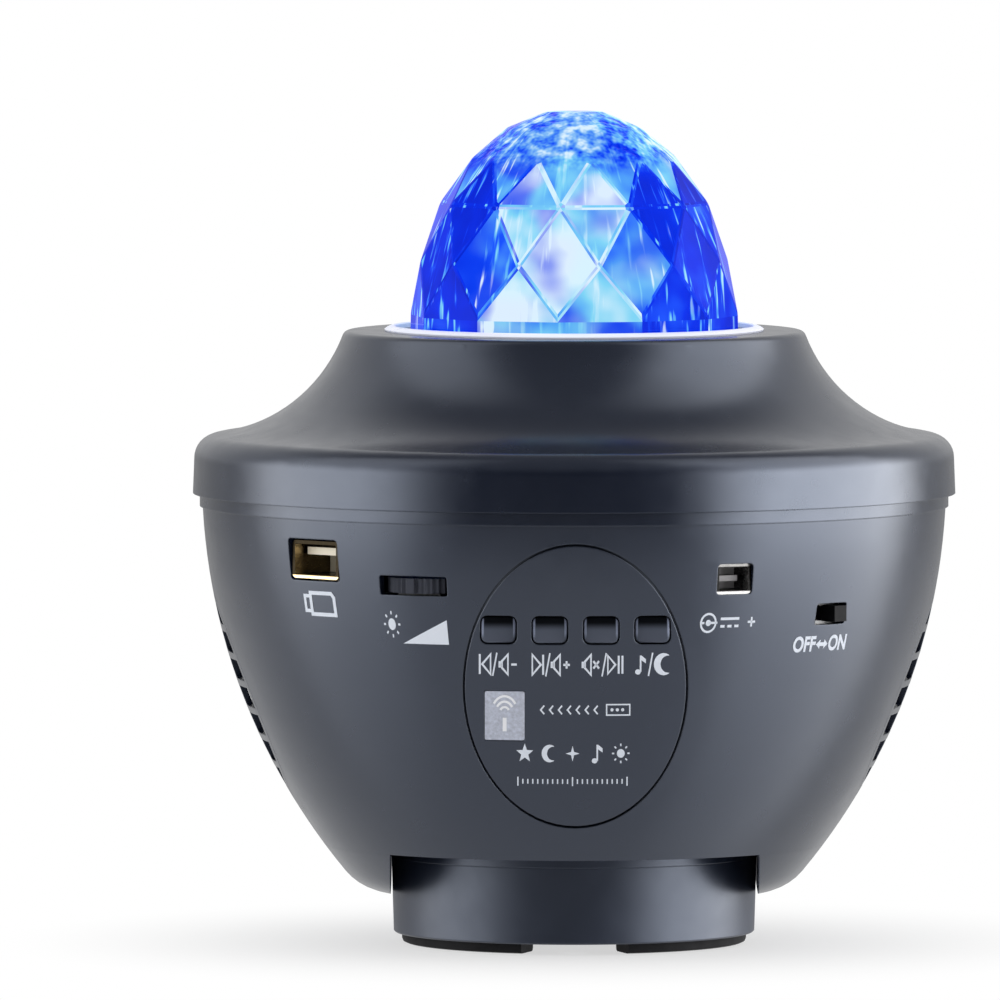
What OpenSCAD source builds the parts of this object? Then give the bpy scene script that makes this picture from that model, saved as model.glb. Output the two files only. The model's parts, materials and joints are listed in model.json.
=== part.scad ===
// Star night light projector: a bowl on a short drum, a flared top cover and a faceted dome.
// A ripple lens turns under the dome, two speakers face the sides, and the controls are at the front.
// Millimetres. +Z is up, the controls face -Y, and the origin is the centre of the feet on the floor.

/* [Base] */
// Radius of the base drum at its top edge
drum_r = 39.7; // [38:0.1:41.5]
// How much smaller the drum's radius is at its foot
drum_taper = 0.5; // [0:0.1:1.2]
// Height of the base drum
drum_h = 17.1; // [14:0.1:24]
// Wall of the base drum
drum_wall = 2.4; // [1.8:0.1:3]
// Height of the neck that carries the bowl
neck_h = 2.2; // [1.5:0.1:4]
// Gap round the drum where it stands in the bowl's notch
drum_gap = 0.1; // [0.05:0.05:0.6]
// Thickness of the plate that closes the drum
base_plate_t = 3; // [2.6:0.1:4]
// Height of the rubber pads
pad_h = 2.2; // [1.5:0.1:4]
// Width of the rubber pads across the ring that they follow
pad_w = 8.4; // [6:0.1:10]
// Open angle between two rubber pads
pad_gap_angle = 36; // [28:1:60]

/* [Bowl] */
// Height of the bowl from its cheeks to its lip
bowl_h = 86.5; // [84:0.1:95]
// How far the cheeks hang below the neck
cheek_drop = 10.3; // [6:0.1:12]
// Radius of the flank's curve, seen from the side
flank_r = 135.3; // [130:0.1:150]
// Height of the flank curve's centre above the lip
flank_rise = 4.2; // [2:0.1:8]
// Radius of the bowl's bottom corner
corner_r = 12; // [9:0.1:14]
// Wall of the bowl and the top cover
wall = 2.2; // [1.8:0.1:2.6]
// Height of the bead at the bowl's lip
bead_h = 2.8; // [1.5:0.1:4]
// How far the bead stands out
bead_out = 0.5; // [0.2:0.1:0.8]

/* [Top cover] */
// Radius of the top cover
cover_r = 82.5; // [80:0.1:86]
// Height of the top cover from the lip to its flat top
cover_h = 35.2; // [33:0.1:38]
// Step from the cover down to the bowl
rim_step = 1.7; // [1.3:0.1:2]
// How much wider the cover's rim is at its lower edge
rim_flare = 0.3; // [0:0.1:0.6]
// Height of the shoulder above the lip
shoulder_h = 12.4; // [10:0.1:14]
// Radius of the hollow curve between the shoulder and the flat top
skirt_r = 34; // [32:0.1:38]
// Radius of the shoulder's round edge
shoulder_fillet = 5; // [4:0.1:6]
// Radius of the round edge of the flat top
top_fillet = 1.5; // [0.8:0.1:2]
// Width of the flat top outside the ring that holds the dome
flat_margin = 5.7; // [4.5:0.1:7]

/* [Dome] */
// Radius of the faceted dome
dome_r = 35.8; // [34.5:0.1:37]
// Height of the faceted dome
dome_h = 48.2; // [43:0.1:56]
// Sides of the faceted dome
dome_sides = 12; // [10:1:16]
// Turn of the first facet edge from the front
dome_turn = -6; // [-15:1:15]
// Wall of the dome
dome_wall = 2; // [1.6:0.1:2.6]
// Width of the flange that holds the dome under the cover
flange_w = 3; // [2.4:0.1:3.6]
// Thickness of that flange
flange_t = 1.8; // [1.4:0.1:2.4]

/* [Ripple lens and drive] */
// Radius of the tower that the ring gear turns on
tower_r = 24; // [22:0.1:24.6]
// Height of the tower above the tray
tower_h = 22; // [21:0.1:26]
// Width of the ring gear's collar, from the tower out to the face of the lens
collar_w = 4.4; // [4:0.1:5]
// Wall of the ripple lens
lens_wall = 1.6; // [1.2:0.1:2]
// Free height between the ripple lens and the dome
lens_gap = 17; // [12:0.1:24]
// Ripples on the lens
ripples = 11; // [6:1:14]
// Height of a ripple
ripple_d = 0.5; // [0.2:0.1:0.7]
// Tooth size of the gears, as pitch diameter per tooth
gear_module = 1; // [0.98:0.01:1.03]
// Distance from the tower to the pitch circle of the ring gear
gear_rim = 4; // [3.7:0.1:4.6]
// Teeth of the motor pinion
pinion_teeth = 12; // [12:1:14]
// Pressure angle of the teeth
pressure_angle = 25; // [22:1:26]
// Play between meshed teeth
backlash = 0.3; // [0.2:0.05:0.4]
// Width of the ring gear's teeth
gear_w = 4; // [3:0.1:5]
// Thickness of the web that closes the ring gear above its teeth
gear_web = 1.2; // [1:0.1:1.6]
// Play of running fits, on the radius
running_gap = 0.06; // [0.03:0.01:0.1]
// Radius of the motor
motor_r = 8.6; // [7:0.1:9]
// Height of the motor
motor_h = 8; // [7:0.1:9]

/* [Control panel] */
// Half width of the oval control panel
panel_a = 23.6; // [22.5:0.1:25]
// Half height of the oval control panel
panel_b = 30.6; // [28:0.1:32]
// Depth of the panel's centre below the lip
panel_drop = 37.7; // [36:0.1:39]
// Thickness of the control panel
panel_t = 1.4; // [1:0.1:1.6]
// Open line round the control panel
panel_gap = 0.5; // [0.3:0.05:0.8]
// Width of a button
button_w = 7.2; // [6.4:0.1:8]
// Height of a button
button_h = 5.5; // [4.6:0.1:6]
// Distance between two buttons
button_pitch = 10.95; // [10.6:0.05:11.2]
// Depth of the buttons' centre below the lip
button_drop = 25.2; // [24.6:0.1:26]
// Gap round a button
button_gap = 0.35; // [0.3:0.05:0.5]
// Travel of a button
button_travel = 0.5; // [0.3:0.05:0.8]
// Width of the receiver window
window_w = 8.5; // [7:0.1:9]
// Height of the receiver window
window_h = 10.7; // [9:0.1:12]

/* [Ports] */
// Angle of the USB socket round from the front
usb_angle = -44.7; // [-47:0.1:-44]
// Depth of the USB socket's centre below the lip
usb_drop = 11.4; // [10.5:0.1:12]
// Width of the USB socket's metal mouth
usb_w = 13.2; // [12.5:0.1:14]
// Height of the USB socket's metal mouth
usb_h = 7.4; // [6.5:0.1:8]
// Angle of the dimmer wheel round from the front
dimmer_angle = -26; // [-27:0.1:-24]
// Depth of the dimmer wheel's centre below the lip
dimmer_drop = 16.1; // [15.5:0.1:16.3]
// Radius of the dimmer wheel
wheel_r = 9; // [8.6:0.1:9.4]
// Thickness of the dimmer wheel
wheel_t = 3.2; // [2.6:0.1:3.4]
// Angle of the power socket round from the front
dc_angle = 25.4; // [23:0.1:26.5]
// Depth of the power socket's centre below the lip
dc_drop = 14.6; // [14:0.1:15]
// Width of the power socket's metal mouth
dc_w = 7.6; // [7:0.1:8.4]
// Height of the power socket's metal mouth
dc_h = 5.8; // [5.2:0.1:6.2]
// Angle of the power switch round from the front
switch_angle = 44.6; // [43:0.1:46]
// Depth of the power switch's centre below the lip
switch_drop = 23; // [22.8:0.1:23.6]
// Travel of the power switch's lever
switch_travel = 4; // [3:0.1:4.6]
// Gap between a socket and the opening in the bowl
port_gap = 0.8; // [0.5:0.1:1.2]

/* [Speakers] */
// Radius of a speaker's frame
speaker_r = 25.5; // [24.8:0.1:26]
// Depth of the grilles' centre below the lip
grille_drop = 43.7; // [42:0.1:45]
// Half width of a grille
grille_a = 17.5; // [15:0.1:19]
// Half height of a grille
grille_b = 21; // [18:0.1:21.4]
// Distance between two grille slots
slot_pitch = 5.9; // [5:0.1:7]
// Height of a grille slot
slot_h = 4.4; // [3:0.1:4.6]
// Width of the upright rib in the middle of a grille
grille_rib = 1.6; // [1.2:0.1:2.4]
// Thickness of a grille
grille_t = 1.3; // [1:0.1:1.5]
// Width of the plain edge round a grille's slots
grille_edge = 1.9; // [1.4:0.1:2.4]
// Travel of a speaker's cone, each way
cone_travel = 0.8; // [0.4:0.1:1]

/* [Hidden] */
$fn = 72;

shell_colour = [0.25, 0.28, 0.34];
dark_colour = [0.05, 0.05, 0.06];
steel_colour = [0.75, 0.76, 0.78];
gold_colour = [0.85, 0.68, 0.35];
board_colour = [0.07, 0.3, 0.16];
glow_colour = [0.1, 0.35, 0.95, 0.7];

cut = 1;            // overrun of a cutting shape past the face that it opens
seat_gap = 0.15;    // room between two fitted curved faces
play = 0.3;         // room round a piece that moves
screw_gap = 0.1;    // room round a screw in its hole

// Levels of the base and the bowl
drum_top = pad_h + drum_h;
notch_z = drum_top + neck_h;
cheek_z = notch_z - cheek_drop;
floor_z = notch_z + wall;
rim_z = cheek_z + bowl_h;
notch_half = drum_r + drum_gap;
neck_r = drum_r - 3.7;
neck_w = 6;
ceiling_z = drum_top - drum_wall;
plate_r = drum_r - drum_taper - drum_wall - seat_gap;
plate_top = pad_h + base_plate_t;
pad_r = drum_r - drum_taper - 1.8;
pad_edge = 0.8;

// The flank of the bowl is an arc through the lip, with its centre across the axis
lip_r = cover_r - rim_step;
flank_z = rim_z + flank_rise;
flank_x = lip_r - sqrt(flank_r * flank_r - flank_rise * flank_rise);
flank_steps = 26;

// Top cover
cover_top = rim_z + cover_h;
skirt_z = rim_z + shoulder_h + skirt_r;
spigot_h = 3;
spigot_t = 1.5;
spigot_r = cover_r - wall - seat_gap;

// Screws: radius of the shank, radius of the head and height of the head
big_screw = [1.5, 2.7, 1.8];
small_screw = [1.1, 2, 1.2];
post_wall = 1.6;

// Screw posts
base_screw_r = neck_r - neck_w / 2;
base_post_h = 5;
plate_post_r = pad_r - pad_w / 2 - 1.5;
plate_post_angles = [for (i = [0:2]) -90 + 120 * i];
plate_screw_l = 7;
pillar_r = big_screw[1] + play + post_wall;
pillar_reach = drum_r + pillar_r + 2.9;
pillar_angle = 61.54;
pillar_x = pillar_reach * cos(pillar_angle);
pillar_y = pillar_reach * sin(pillar_angle);
pillar_seat = 4;
cover_screw_in = 10;
boss_r = big_screw[0] + screw_gap + post_wall;
small_boss_r = small_screw[0] + screw_gap + 0.8;

// Light tray, tower and drive
tray_drop = 3.7;
tray_z = rim_z - tray_drop;
tray_t = 2;
tray_top = tray_z + tray_t;
tray_r = pillar_reach + pillar_r + 6.2;
cable_slot_w = 8;
cable_slot_l = 28;
tower_wall = 2;
tower_top = tray_top + tower_h;
motor_top = tray_top + motor_h;
shaft_show = 4;
gear_z = motor_top + shaft_show;
gear_gap = 0.2;
ledge_h = 2;
ledge_w = 1.8;
ring_teeth = round(2 * (tower_r + gear_rim) / gear_module);
ring_pitch_r = gear_module * ring_teeth / 2;
pinion_pitch_r = gear_module * pinion_teeth / 2;
motor_y = ring_pitch_r + pinion_pitch_r;
clip_t = 0.8;
clip_w = 2.5;
clip_groove = 0.4;
clip_slit = 4;
collar_in_r = tower_r + clip_w + play;
collar_h = 2.8;
gear_top = gear_z + gear_gap + gear_w + gear_web;
lens_r = tower_r + collar_w;
lens_z = gear_top + collar_h;
pinion_over = 0.6;
pinion_h = pinion_over + gear_gap + gear_w - play;
shaft_r = 1.5;
shaft_in = 4.8;
shaft_over = 1.2;
motor_ear_x = motor_r + 4;
motor_ear_r = 3;
motor_ear_t = 1.2;
motor_boss_r = 3.2;
motor_boss_h = 1.2;
led_board_r = tower_r - tower_wall - 0.5;
led_board_t = 1.6;
led_w = 3.6;
led_h = 1.2;
laser_r = 5;
laser_h = 27;
laser_mouth = 1.5;
led_ring_r = (laser_r + led_board_r) / 2;

// Dome
flange_z = cover_top - wall - flange_t;
flange_r = dome_r + flange_w;
dome_hole_r = dome_r + play;
retainer_t = 2;
retainer_screw_r = flange_r + small_boss_r + seat_gap;
retainer_r = retainer_screw_r + small_screw[1] + 0.2;
flat_r = retainer_r + flat_margin;
skirt_x = flat_r + sqrt(pow(skirt_r + top_fillet, 2) - pow(skirt_z - cover_top + top_fillet, 2));
dome_apex = cover_top + dome_h;
facet_levels = [5, 18.5, 35.2, 51.4, 66, 80];
half_facet = 180 / dome_sides;
lens_h = dome_apex - lens_gap - lens_z;

// Control panel and boards
panel_z = rim_z - panel_drop;
button_z = rim_z - button_drop;
button_r = 1.2;
backing_t = 1.6;
pocket_t = panel_t + seat_gap;
inner_t = wall + backing_t;
button_flange = 0.8;
button_flange_t = 1.2;
board_w = 44;
board_t = 1.6;
port_board_drop = 21.1;
port_board_z = rim_z - port_board_drop;
port_board_top = port_board_z + board_t;
board_top_z = port_board_z - 0.6;
board_h = 28;
board_bottom_z = board_top_z - board_h;
board_y = sqrt(pow(flank_at(board_bottom_z, inner_t), 2) - pow(board_w / 2, 2)) - 0.6;
tact_h = 3.5;
tact_w = 6;
plunger_r = 1.7;
plunger_h = 0.6;
button_back_y = board_y + tact_h + plunger_h + button_travel + 0.2;
button_x = [for (i = [0:3]) (i - 1.5) * button_pitch];
window_x = -15.1;
window_z = panel_z - 6.2;
window_t = 2.4;
ir_w = 6;
ir_h = 7;
ir_t = 4;
ir_lens_r = 2.4;
ir_lens_out = 1;
board_screw_in = 2.4;
board_post_l = 20;
board_edge = 3;
board_post_drop = 12;
board_low_post_x = 6;
board_posts = concat(
    [for (side = [-1, 1]) [side * (board_w / 2 - board_edge), board_top_z - board_post_drop]],
    [for (side = [-1, 1]) [side * board_low_post_x, board_bottom_z + board_edge]]);

// Ports
port_board_r = flank_at(port_board_z, inner_t) - 0.4;
port_board_w = 16;
port_board_half = 60;
port_posts = [-56, -35, 34.5, 56];
port_post_w = 6;
port_post_out = 10;
port_edge = 3;
port_screw_in = 3.6;
usb_z = rim_z - usb_drop;
dc_z = rim_z - dc_drop;
dimmer_z = rim_z - dimmer_drop;
switch_z = rim_z - switch_drop;
port_recess = 0.9;
sheet_t = 0.4;
usb_depth = 14;
dc_depth = 10;
wheel_out = 0.6;
wheel_slot_w = 16;
wheel_slot_h = wheel_t + 1;
wheel_axis_r = wall_r(dimmer_z) + wheel_out - wheel_r;
wheel_pin_r = 1.6;
wheel_knurls = 40;
knurl_d = 0.5;
index_d = 0.4;
index_w = 1.6;
lever_w = 3.6;
lever_h = 3.4;
lever_out = 0.9;
switch_slot_w = lever_w + switch_travel + 1.4;
switch_slot_h = lever_h + 1.2;
switch_body_w = 13;
switch_body_d = 5.5;
dimmer_half = 5;
tongue_t = 1.6;
tongue_in = 3;

// Speakers stand square to the wall behind their grilles
grille_z = rim_z - grille_drop;
grille_rows = floor((grille_b - slot_h / 2) / slot_pitch);
grille_reach = grille_b + 2 * grille_edge;
speaker_tilt = asin((flank_z - grille_z) / flank_r);
speaker_stand = 5.6;
speaker_x = flank_at(grille_z, wall) - speaker_stand * cos(speaker_tilt);
speaker_z = grille_z + speaker_stand * sin(speaker_tilt);
speaker_flange_t = 1.2;
speaker_ring_w = 1.7;
speaker_ring_l = 20;
basket_h = 12;
basket_r = 14.4;
magnet_r = 13;
magnet_h = 6;
cone_r = speaker_r - 4.5;
cone_edge_z = -1.3;

// Points on an arc, with or without its first point
function arc(c, r, a0, a1, n, first = 0) =
    [for (i = [first:n]) let (a = a0 + (a1 - a0) * i / n) [c[0] + r * cos(a), c[1] + r * sin(a)]];
function oval(a, b, n = 72) = [for (i = [0:n - 1]) [a * cos(360 * i / n), b * sin(360 * i / n)]];
function moved(points, x, y) = [for (p = points) [p[0] + x, p[1] + y]];
function reversed(list) = [for (i = [len(list) - 1:-1:0]) list[i]];
function rounded(w, h, r, n = 4) =
    concat(arc([w / 2 - r, h / 2 - r], r, 0, 90, n), arc([r - w / 2, h / 2 - r], r, 90, 180, n),
        arc([r - w / 2, r - h / 2], r, 180, 270, n), arc([w / 2 - r, r - h / 2], r, 270, 360, n));

// Radius of the flank at a height, t inside its outer face
function flank_at(z, t) = flank_x + sqrt(pow(flank_r - t, 2) - pow(z - flank_z, 2));
function flank_angle(z, t) = asin((z - flank_z) / (flank_r - t));
function flank_arc(t, z0, z1, n, first = 0) =
    arc([flank_x, flank_z], flank_r - t, flank_angle(z0, t), flank_angle(z1, t), n, first);
function wall_r(z) = flank_at(z, 0);

// Half section of the bowl's form, t inside its outer face, filled to the axis
function bowl_points(t, top) =
    let (r = flank_r - t, round_r = corner_r - t, z = cheek_z + corner_r,
        x = flank_x + sqrt(pow(flank_r - corner_r, 2) - pow(z - flank_z, 2)),
        a = atan2(z - flank_z, x - flank_x))
    concat([[0, z - round_r]], arc([x, z], round_r, -90, a, 6),
        arc([flank_x, flank_z], r, a, flank_angle(top, t), flank_steps, 1), [[0, top]]);

// Half section of the top cover's form, t inside its outer face, filled to the axis
function cover_points(t, bottom) =
    let (r = skirt_r + t, top = cover_top - t, round_r = shoulder_fillet - t,
        sx = cover_r - shoulder_fillet,
        sz = skirt_z - sqrt(pow(skirt_r + shoulder_fillet, 2) - pow(skirt_x - sx, 2)),
        a_low = atan2(sz - skirt_z, sx - skirt_x),
        tz = cover_top - top_fillet,
        a_high = t > 0 ? -180 + asin((skirt_z - top) / r) : atan2(tz - skirt_z, flat_r - skirt_x),
        edge = t > 0 ? [] : arc([flat_r, tz], top_fillet, 90, 180 + a_high, 6))
    concat([[0, top]], edge, arc([skirt_x, skirt_z], r, a_high, a_low, 18, t > 0 ? 0 : 1),
        arc([sx, sz], round_r, 180 + a_low, 0, 8, 1), [[cover_r + rim_flare - t, bottom], [0, bottom]]);

module ring(r_out, r_in, h) {
    rotate_extrude() translate([r_in, 0]) square([r_out - r_in, h]);
}

// Solid between the flank's outer face and a deeper one
module flank_band(t0, t1, z0, z1) {
    rotate_extrude() polygon(concat(flank_arc(t0, z0, z1, 14), reversed(flank_arc(t1, z0, z1, 14))));
}

// An outline in X and Z, carried through the front from y0 to y1 in front of the axis
module front_prism(points, y0, y1) {
    translate([0, -y0, 0]) rotate([90, 0, 0]) linear_extrude(height = y1 - y0) polygon(points);
}

// Puts a piece on the wall: local -Y points out of the wall, and X runs to the right
module on_wall(angle, z, inset = 0) {
    rotate([0, 0, angle]) translate([0, inset - wall_r(z), z]) children();
}

module post(x, y, z0, z1, r) {
    translate([x, y, z0]) cylinder(r = r, h = z1 - z0);
}

// A screw with its head's seat at the origin and its shank along +Z
module screw(kind, length) {
    translate([0, 0, -kind[2]]) cylinder(r = kind[1], h = kind[2]);
    cylinder(r = kind[0], h = length);
}

module at_corners(x, y) {
    for (sx = [-1, 1], sy = [-1, 1]) translate([sx * x, sy * y, 0]) children();
}

module at_circle(r, angles) {
    for (a = angles) rotate([0, 0, a]) translate([r, 0, 0]) children();
}

// ---- Base ----

module base_drum() {
    foot_r = drum_r - drum_taper;
    edge = 0.6;
    color(shell_colour) difference() {
        union() {
            rotate_extrude() polygon([
                [0, ceiling_z], [foot_r - drum_wall, ceiling_z], [foot_r - drum_wall, pad_h],
                [foot_r - 0.3, pad_h], [foot_r, pad_h + 0.3], [drum_r, drum_top - edge],
                [drum_r - edge, drum_top], [0, drum_top]
            ]);
            translate([0, 0, drum_top]) ring(neck_r, neck_r - neck_w, neck_h);
            at_circle(plate_post_r, plate_post_angles)
                post(0, 0, plate_top, ceiling_z + drum_wall / 2, small_screw[0] + screw_gap + post_wall);
        }
        at_circle(plate_post_r, plate_post_angles)
            post(0, 0, plate_top - cut, pad_h + plate_screw_l + 3, small_screw[0] + screw_gap);
        at_circle(base_screw_r, [for (i = [0:3]) 45 + 90 * i])
            post(0, 0, ceiling_z - cut, notch_z + cut, big_screw[0] + screw_gap);
    }
}

module base_plate() {
    well_h = small_screw[2] + 0.3;
    color(shell_colour) difference() {
        post(0, 0, pad_h, plate_top, plate_r);
        at_circle(plate_post_r, plate_post_angles) {
            post(0, 0, pad_h - cut, plate_top + cut, small_screw[0] + screw_gap);
            post(0, 0, pad_h - cut, pad_h + well_h, small_screw[1] + screw_gap);
        }
    }
}

module plate_screws() {
    color(steel_colour) at_circle(plate_post_r, plate_post_angles)
        translate([0, 0, pad_h + small_screw[2] + 0.3]) screw(small_screw, plate_screw_l);
}

module rubber_feet() {
    span = 120 - pad_gap_angle;
    color(dark_colour) for (i = [0:2]) rotate([0, 0, -90 + 120 * i + pad_gap_angle / 2])
        rotate_extrude(angle = span) polygon([
            [pad_r - pad_w + pad_edge, 0], [pad_r - pad_edge, 0], [pad_r - pad_edge * 0.3, pad_edge * 0.3],
            [pad_r, pad_edge], [pad_r, pad_h], [pad_r - pad_w, pad_h],
            [pad_r - pad_w, pad_edge], [pad_r - pad_w + pad_edge * 0.3, pad_edge * 0.3]
        ]);
}

module base_screws() {
    color(steel_colour) at_circle(base_screw_r, [for (i = [0:3]) 45 + 90 * i])
        translate([0, 0, ceiling_z]) screw(big_screw, notch_z - ceiling_z + base_post_h);
}

// ---- Bowl ----

// The space that the drum stands in, open to the front and the back
module notch(half, z) {
    translate([-half, -2 * cover_r, 0]) cube([2 * half, 4 * cover_r, z]);
}

module both_sides() {
    for (turn = [0, 180]) rotate([0, 0, turn]) children();
}

// Oval prism through the wall on the +X side
module grille_prism(a, b) {
    translate([lip_r / 2, 0, grille_z]) rotate([90, 0, 90]) linear_extrude(height = lip_r)
        polygon(oval(a, b));
}

// Layer of the wall under such a prism, from its outer face inwards
module grille_layer(t0, t1, margin) {
    intersection() {
        flank_band(t0, t1, grille_z - grille_reach, grille_z + grille_reach);
        grille_prism(grille_a + margin, grille_b + margin);
    }
}

// Each grille sits in a rebate round an oval opening in the bowl
module grille_seats() {
    both_sides() {
        grille_prism(grille_a, grille_b);
        grille_layer(-cut, grille_t + seat_gap, grille_edge + seat_gap);
    }
}

module panel_pocket() {
    intersection() {
        flank_band(-cut, pocket_t, panel_z - panel_b - 3, panel_z + panel_b + 3);
        front_prism(moved(oval(panel_a + panel_gap, panel_b + panel_gap), 0, panel_z), lip_r / 2, 2 * lip_r);
    }
}

module panel_backing() {
    intersection() {
        flank_band(wall - 0.3, inner_t, panel_z - panel_b - 5, rim_z - 3);
        front_prism(moved(oval(panel_a + 3, panel_b + 3), 0, panel_z), lip_r / 2, lip_r);
    }
}

module button_openings(gap) {
    for (x = button_x)
        front_prism(moved(rounded(button_w + 2 * gap, button_h + 2 * gap, button_r + gap), x, button_z),
            board_y, 2 * lip_r);
}

module port_openings() {
    usb = rounded(usb_w + 2 * port_gap, usb_h + 2 * port_gap, 0.8);
    dc = rounded(dc_w + 2 * sheet_t, dc_h + 2 * sheet_t, 0.8);
    wheel = rounded(wheel_slot_w, wheel_slot_h, 0.5);
    lever = rounded(switch_slot_w, switch_slot_h, 0.5);
    places = [[usb_angle, usb_z, usb], [dc_angle, dc_z, dc], [dimmer_angle, dimmer_z, wheel],
        [switch_angle, switch_z, lever]];
    for (p = places) on_wall(p[0], p[1], 3 * wall) rotate([90, 0, 0])
        linear_extrude(height = 6 * wall) polygon(p[2]);
}

// Gussets that carry the port board
module port_ledges() {
    for (a = port_posts) rotate([0, 0, a]) rotate([90, 0, -90]) translate([0, 0, -port_post_w / 2])
        linear_extrude(height = port_post_w) polygon([
            [port_board_r - 2 * port_edge, port_board_z],
            [port_board_r - 2 * port_edge, port_board_z - port_edge],
            [port_board_r + wall, port_board_z - port_post_out],
            [port_board_r + wall, port_board_z]
        ]);
}

module bowl_fittings() {
    intersection() {
        union() {
            at_corners(pillar_x, pillar_y) post(0, 0, notch_z, tray_z, pillar_r);
            at_circle(base_screw_r, [for (i = [0:3]) 45 + 90 * i])
                post(0, 0, notch_z, floor_z + base_post_h, boss_r);
            for (p = board_posts) translate([p[0], -board_y, p[1]]) rotate([90, 0, 0])
                cylinder(r = small_screw[0] + screw_gap + post_wall, h = board_post_l);
            port_ledges();
            for (side = [-1, 1]) at_speaker(side) ring(speaker_r, speaker_r - speaker_ring_w, speaker_ring_l);
        }
        rotate_extrude() polygon(bowl_points(pocket_t + 0.3, rim_z));
    }
}

// One moulding, from its rim down to its cheeks
module bowl_moulding() {
    difference() {
        union() {
            difference() {
                union() {
                    rotate_extrude() polygon(bowl_points(0, rim_z));
                    translate([0, 0, rim_z - bead_h]) ring(lip_r + bead_out, lip_r - wall, bead_h);
                }
                difference() {
                    rotate_extrude() polygon(bowl_points(wall, rim_z + cut));
                    notch(notch_half + wall, floor_z);
                }
                notch(notch_half, notch_z);
                grille_seats();
            }
            translate([0, 0, rim_z - spigot_h]) ring(spigot_r, spigot_r - spigot_t, 2 * spigot_h);
            panel_backing();
            bowl_fittings();
        }
        panel_pocket();
        button_openings(button_gap);
        window_opening(0.15);
        port_openings();
        at_corners(pillar_x, pillar_y) {
            post(0, 0, notch_z - cut, tray_z - pillar_seat, big_screw[1] + play);
            post(0, 0, notch_z, tray_z + cut, big_screw[0] + screw_gap);
        }
        at_circle(base_screw_r, [for (i = [0:3]) 45 + 90 * i])
            post(0, 0, notch_z - cut, notch_z + base_post_h + 1, big_screw[0] + screw_gap);
        for (p = board_posts) translate([p[0], -board_y + cut, p[1]]) rotate([90, 0, 0])
            cylinder(r = small_screw[0] + screw_gap, h = board_screw_in + 0.2 + cut);
        for (a = port_posts) rotate([0, 0, a - 90])
            post(port_board_r - port_edge, 0, port_board_z - port_screw_in - 0.4, port_board_z + cut,
                small_screw[0] + screw_gap);
    }
}

module bowl() {
    color(shell_colour) intersection() {
        bowl_moulding();
        translate([0, 0, notch_z]) cylinder(r = 2 * cover_r, h = cover_top);
    }
}

// The two cheeks that hang beside the drum are a node of their own
module bowl_cheeks() {
    color(shell_colour) intersection() {
        bowl_moulding();
        both_sides() translate([notch_half, -cover_r, 0]) cube([cover_r, 2 * cover_r, notch_z]);
    }
}

// Oval grille: slots on both sides of an upright rib
module grille() {
    rib_half = grille_rib / 2;
    color(shell_colour) difference() {
        grille_layer(0, grille_t, grille_edge);
        intersection() {
            grille_prism(grille_a, grille_b);
            union() for (i = [-grille_rows:grille_rows], y = [rib_half, -rib_half - grille_a])
                translate([lip_r / 2, y, grille_z + i * slot_pitch - slot_h / 2])
                    cube([lip_r, grille_a, slot_h]);
        }
    }
}

module grille_left() { rotate([0, 0, 180]) grille(); }
module grille_right() { grille(); }

// ---- Top cover ----

module top_cover() {
    color(shell_colour) difference() {
        union() {
            difference() {
                rotate_extrude() polygon(cover_points(0, rim_z));
                rotate_extrude() polygon(cover_points(wall, rim_z - cut));
            }
            at_corners(pillar_x, pillar_y) post(0, 0, tray_top, cover_top - wall / 2, boss_r);
            at_circle(retainer_screw_r, [for (i = [0:2]) 30 + 120 * i])
                post(0, 0, flange_z, cover_top - wall / 2, small_boss_r);
        }
        post(0, 0, cover_top - 3 * wall, cover_top + cut, dome_hole_r);
        at_corners(pillar_x, pillar_y)
            post(0, 0, tray_top - cut, tray_top + cover_screw_in + 2, big_screw[0] + screw_gap);
        at_circle(retainer_screw_r, [for (i = [0:2]) 30 + 120 * i])
            post(0, 0, flange_z - cut, cover_top - wall / 2, small_screw[0] + screw_gap);
    }
}

module cover_screws() {
    color(steel_colour) at_corners(pillar_x, pillar_y)
        translate([0, 0, tray_z - pillar_seat]) screw(big_screw, pillar_seat + tray_t + cover_screw_in);
}

// ---- Dome ----

function dome_ring(r, z, turn) =
    [for (i = [0:dome_sides - 1]) let (a = dome_turn - 90 + turn + 360 * i / dome_sides)
        [r * cos(a), r * sin(a), z]];

// Levels A to F of the facets. Level B lies on the chords from A to C, so the diamonds are flat.
function dome_points() =
    let (n = len(facet_levels) - 1,
        r = [for (a = facet_levels) dome_r * cos(a)],
        z = [for (a = facet_levels) cover_top + dome_h * sin(a)],
        b = (r[0] + (r[2] - r[0]) * (z[1] - z[0]) / (z[2] - z[0])) / cos(half_facet))
    concat(dome_ring(dome_r, flange_z + flange_t / 2, 0),
        [for (k = [0:n]) each dome_ring(k == 1 ? b : r[k], z[k], k % 2 == 0 ? 0 : half_facet)]);

function dome_at(level, i) = level * dome_sides + (i + dome_sides) % dome_sides;

// A strip of triangles from one level up to the next, whose points lie half a facet further on or back
function dome_strip(low, shift) = [for (i = [0:dome_sides - 1]) each [
    [dome_at(low, i), dome_at(low, i + 1), dome_at(low + 1, i + shift)],
    [dome_at(low, i + 1), dome_at(low + 1, i + 1 + shift), dome_at(low + 1, i + shift)]
]];

function dome_faces() =
    let (last = len(facet_levels), side = [0:dome_sides - 1])
    concat([[for (i = side) dome_at(0, -i)]],
        [for (i = side) [dome_at(0, i), dome_at(0, i + 1), dome_at(1, i + 1), dome_at(1, i)]],
        [for (i = side) [dome_at(1, i), dome_at(1, i + 1), dome_at(2, i)]],
        [for (i = side) [dome_at(1, i), dome_at(2, i), dome_at(3, i), dome_at(2, i - 1)]],
        [for (i = side) [dome_at(2, i), dome_at(3, i + 1), dome_at(3, i)]],
        dome_strip(3, 0), dome_strip(4, 1), dome_strip(5, 0),
        [[for (i = side) dome_at(last, i)]]);

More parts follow.
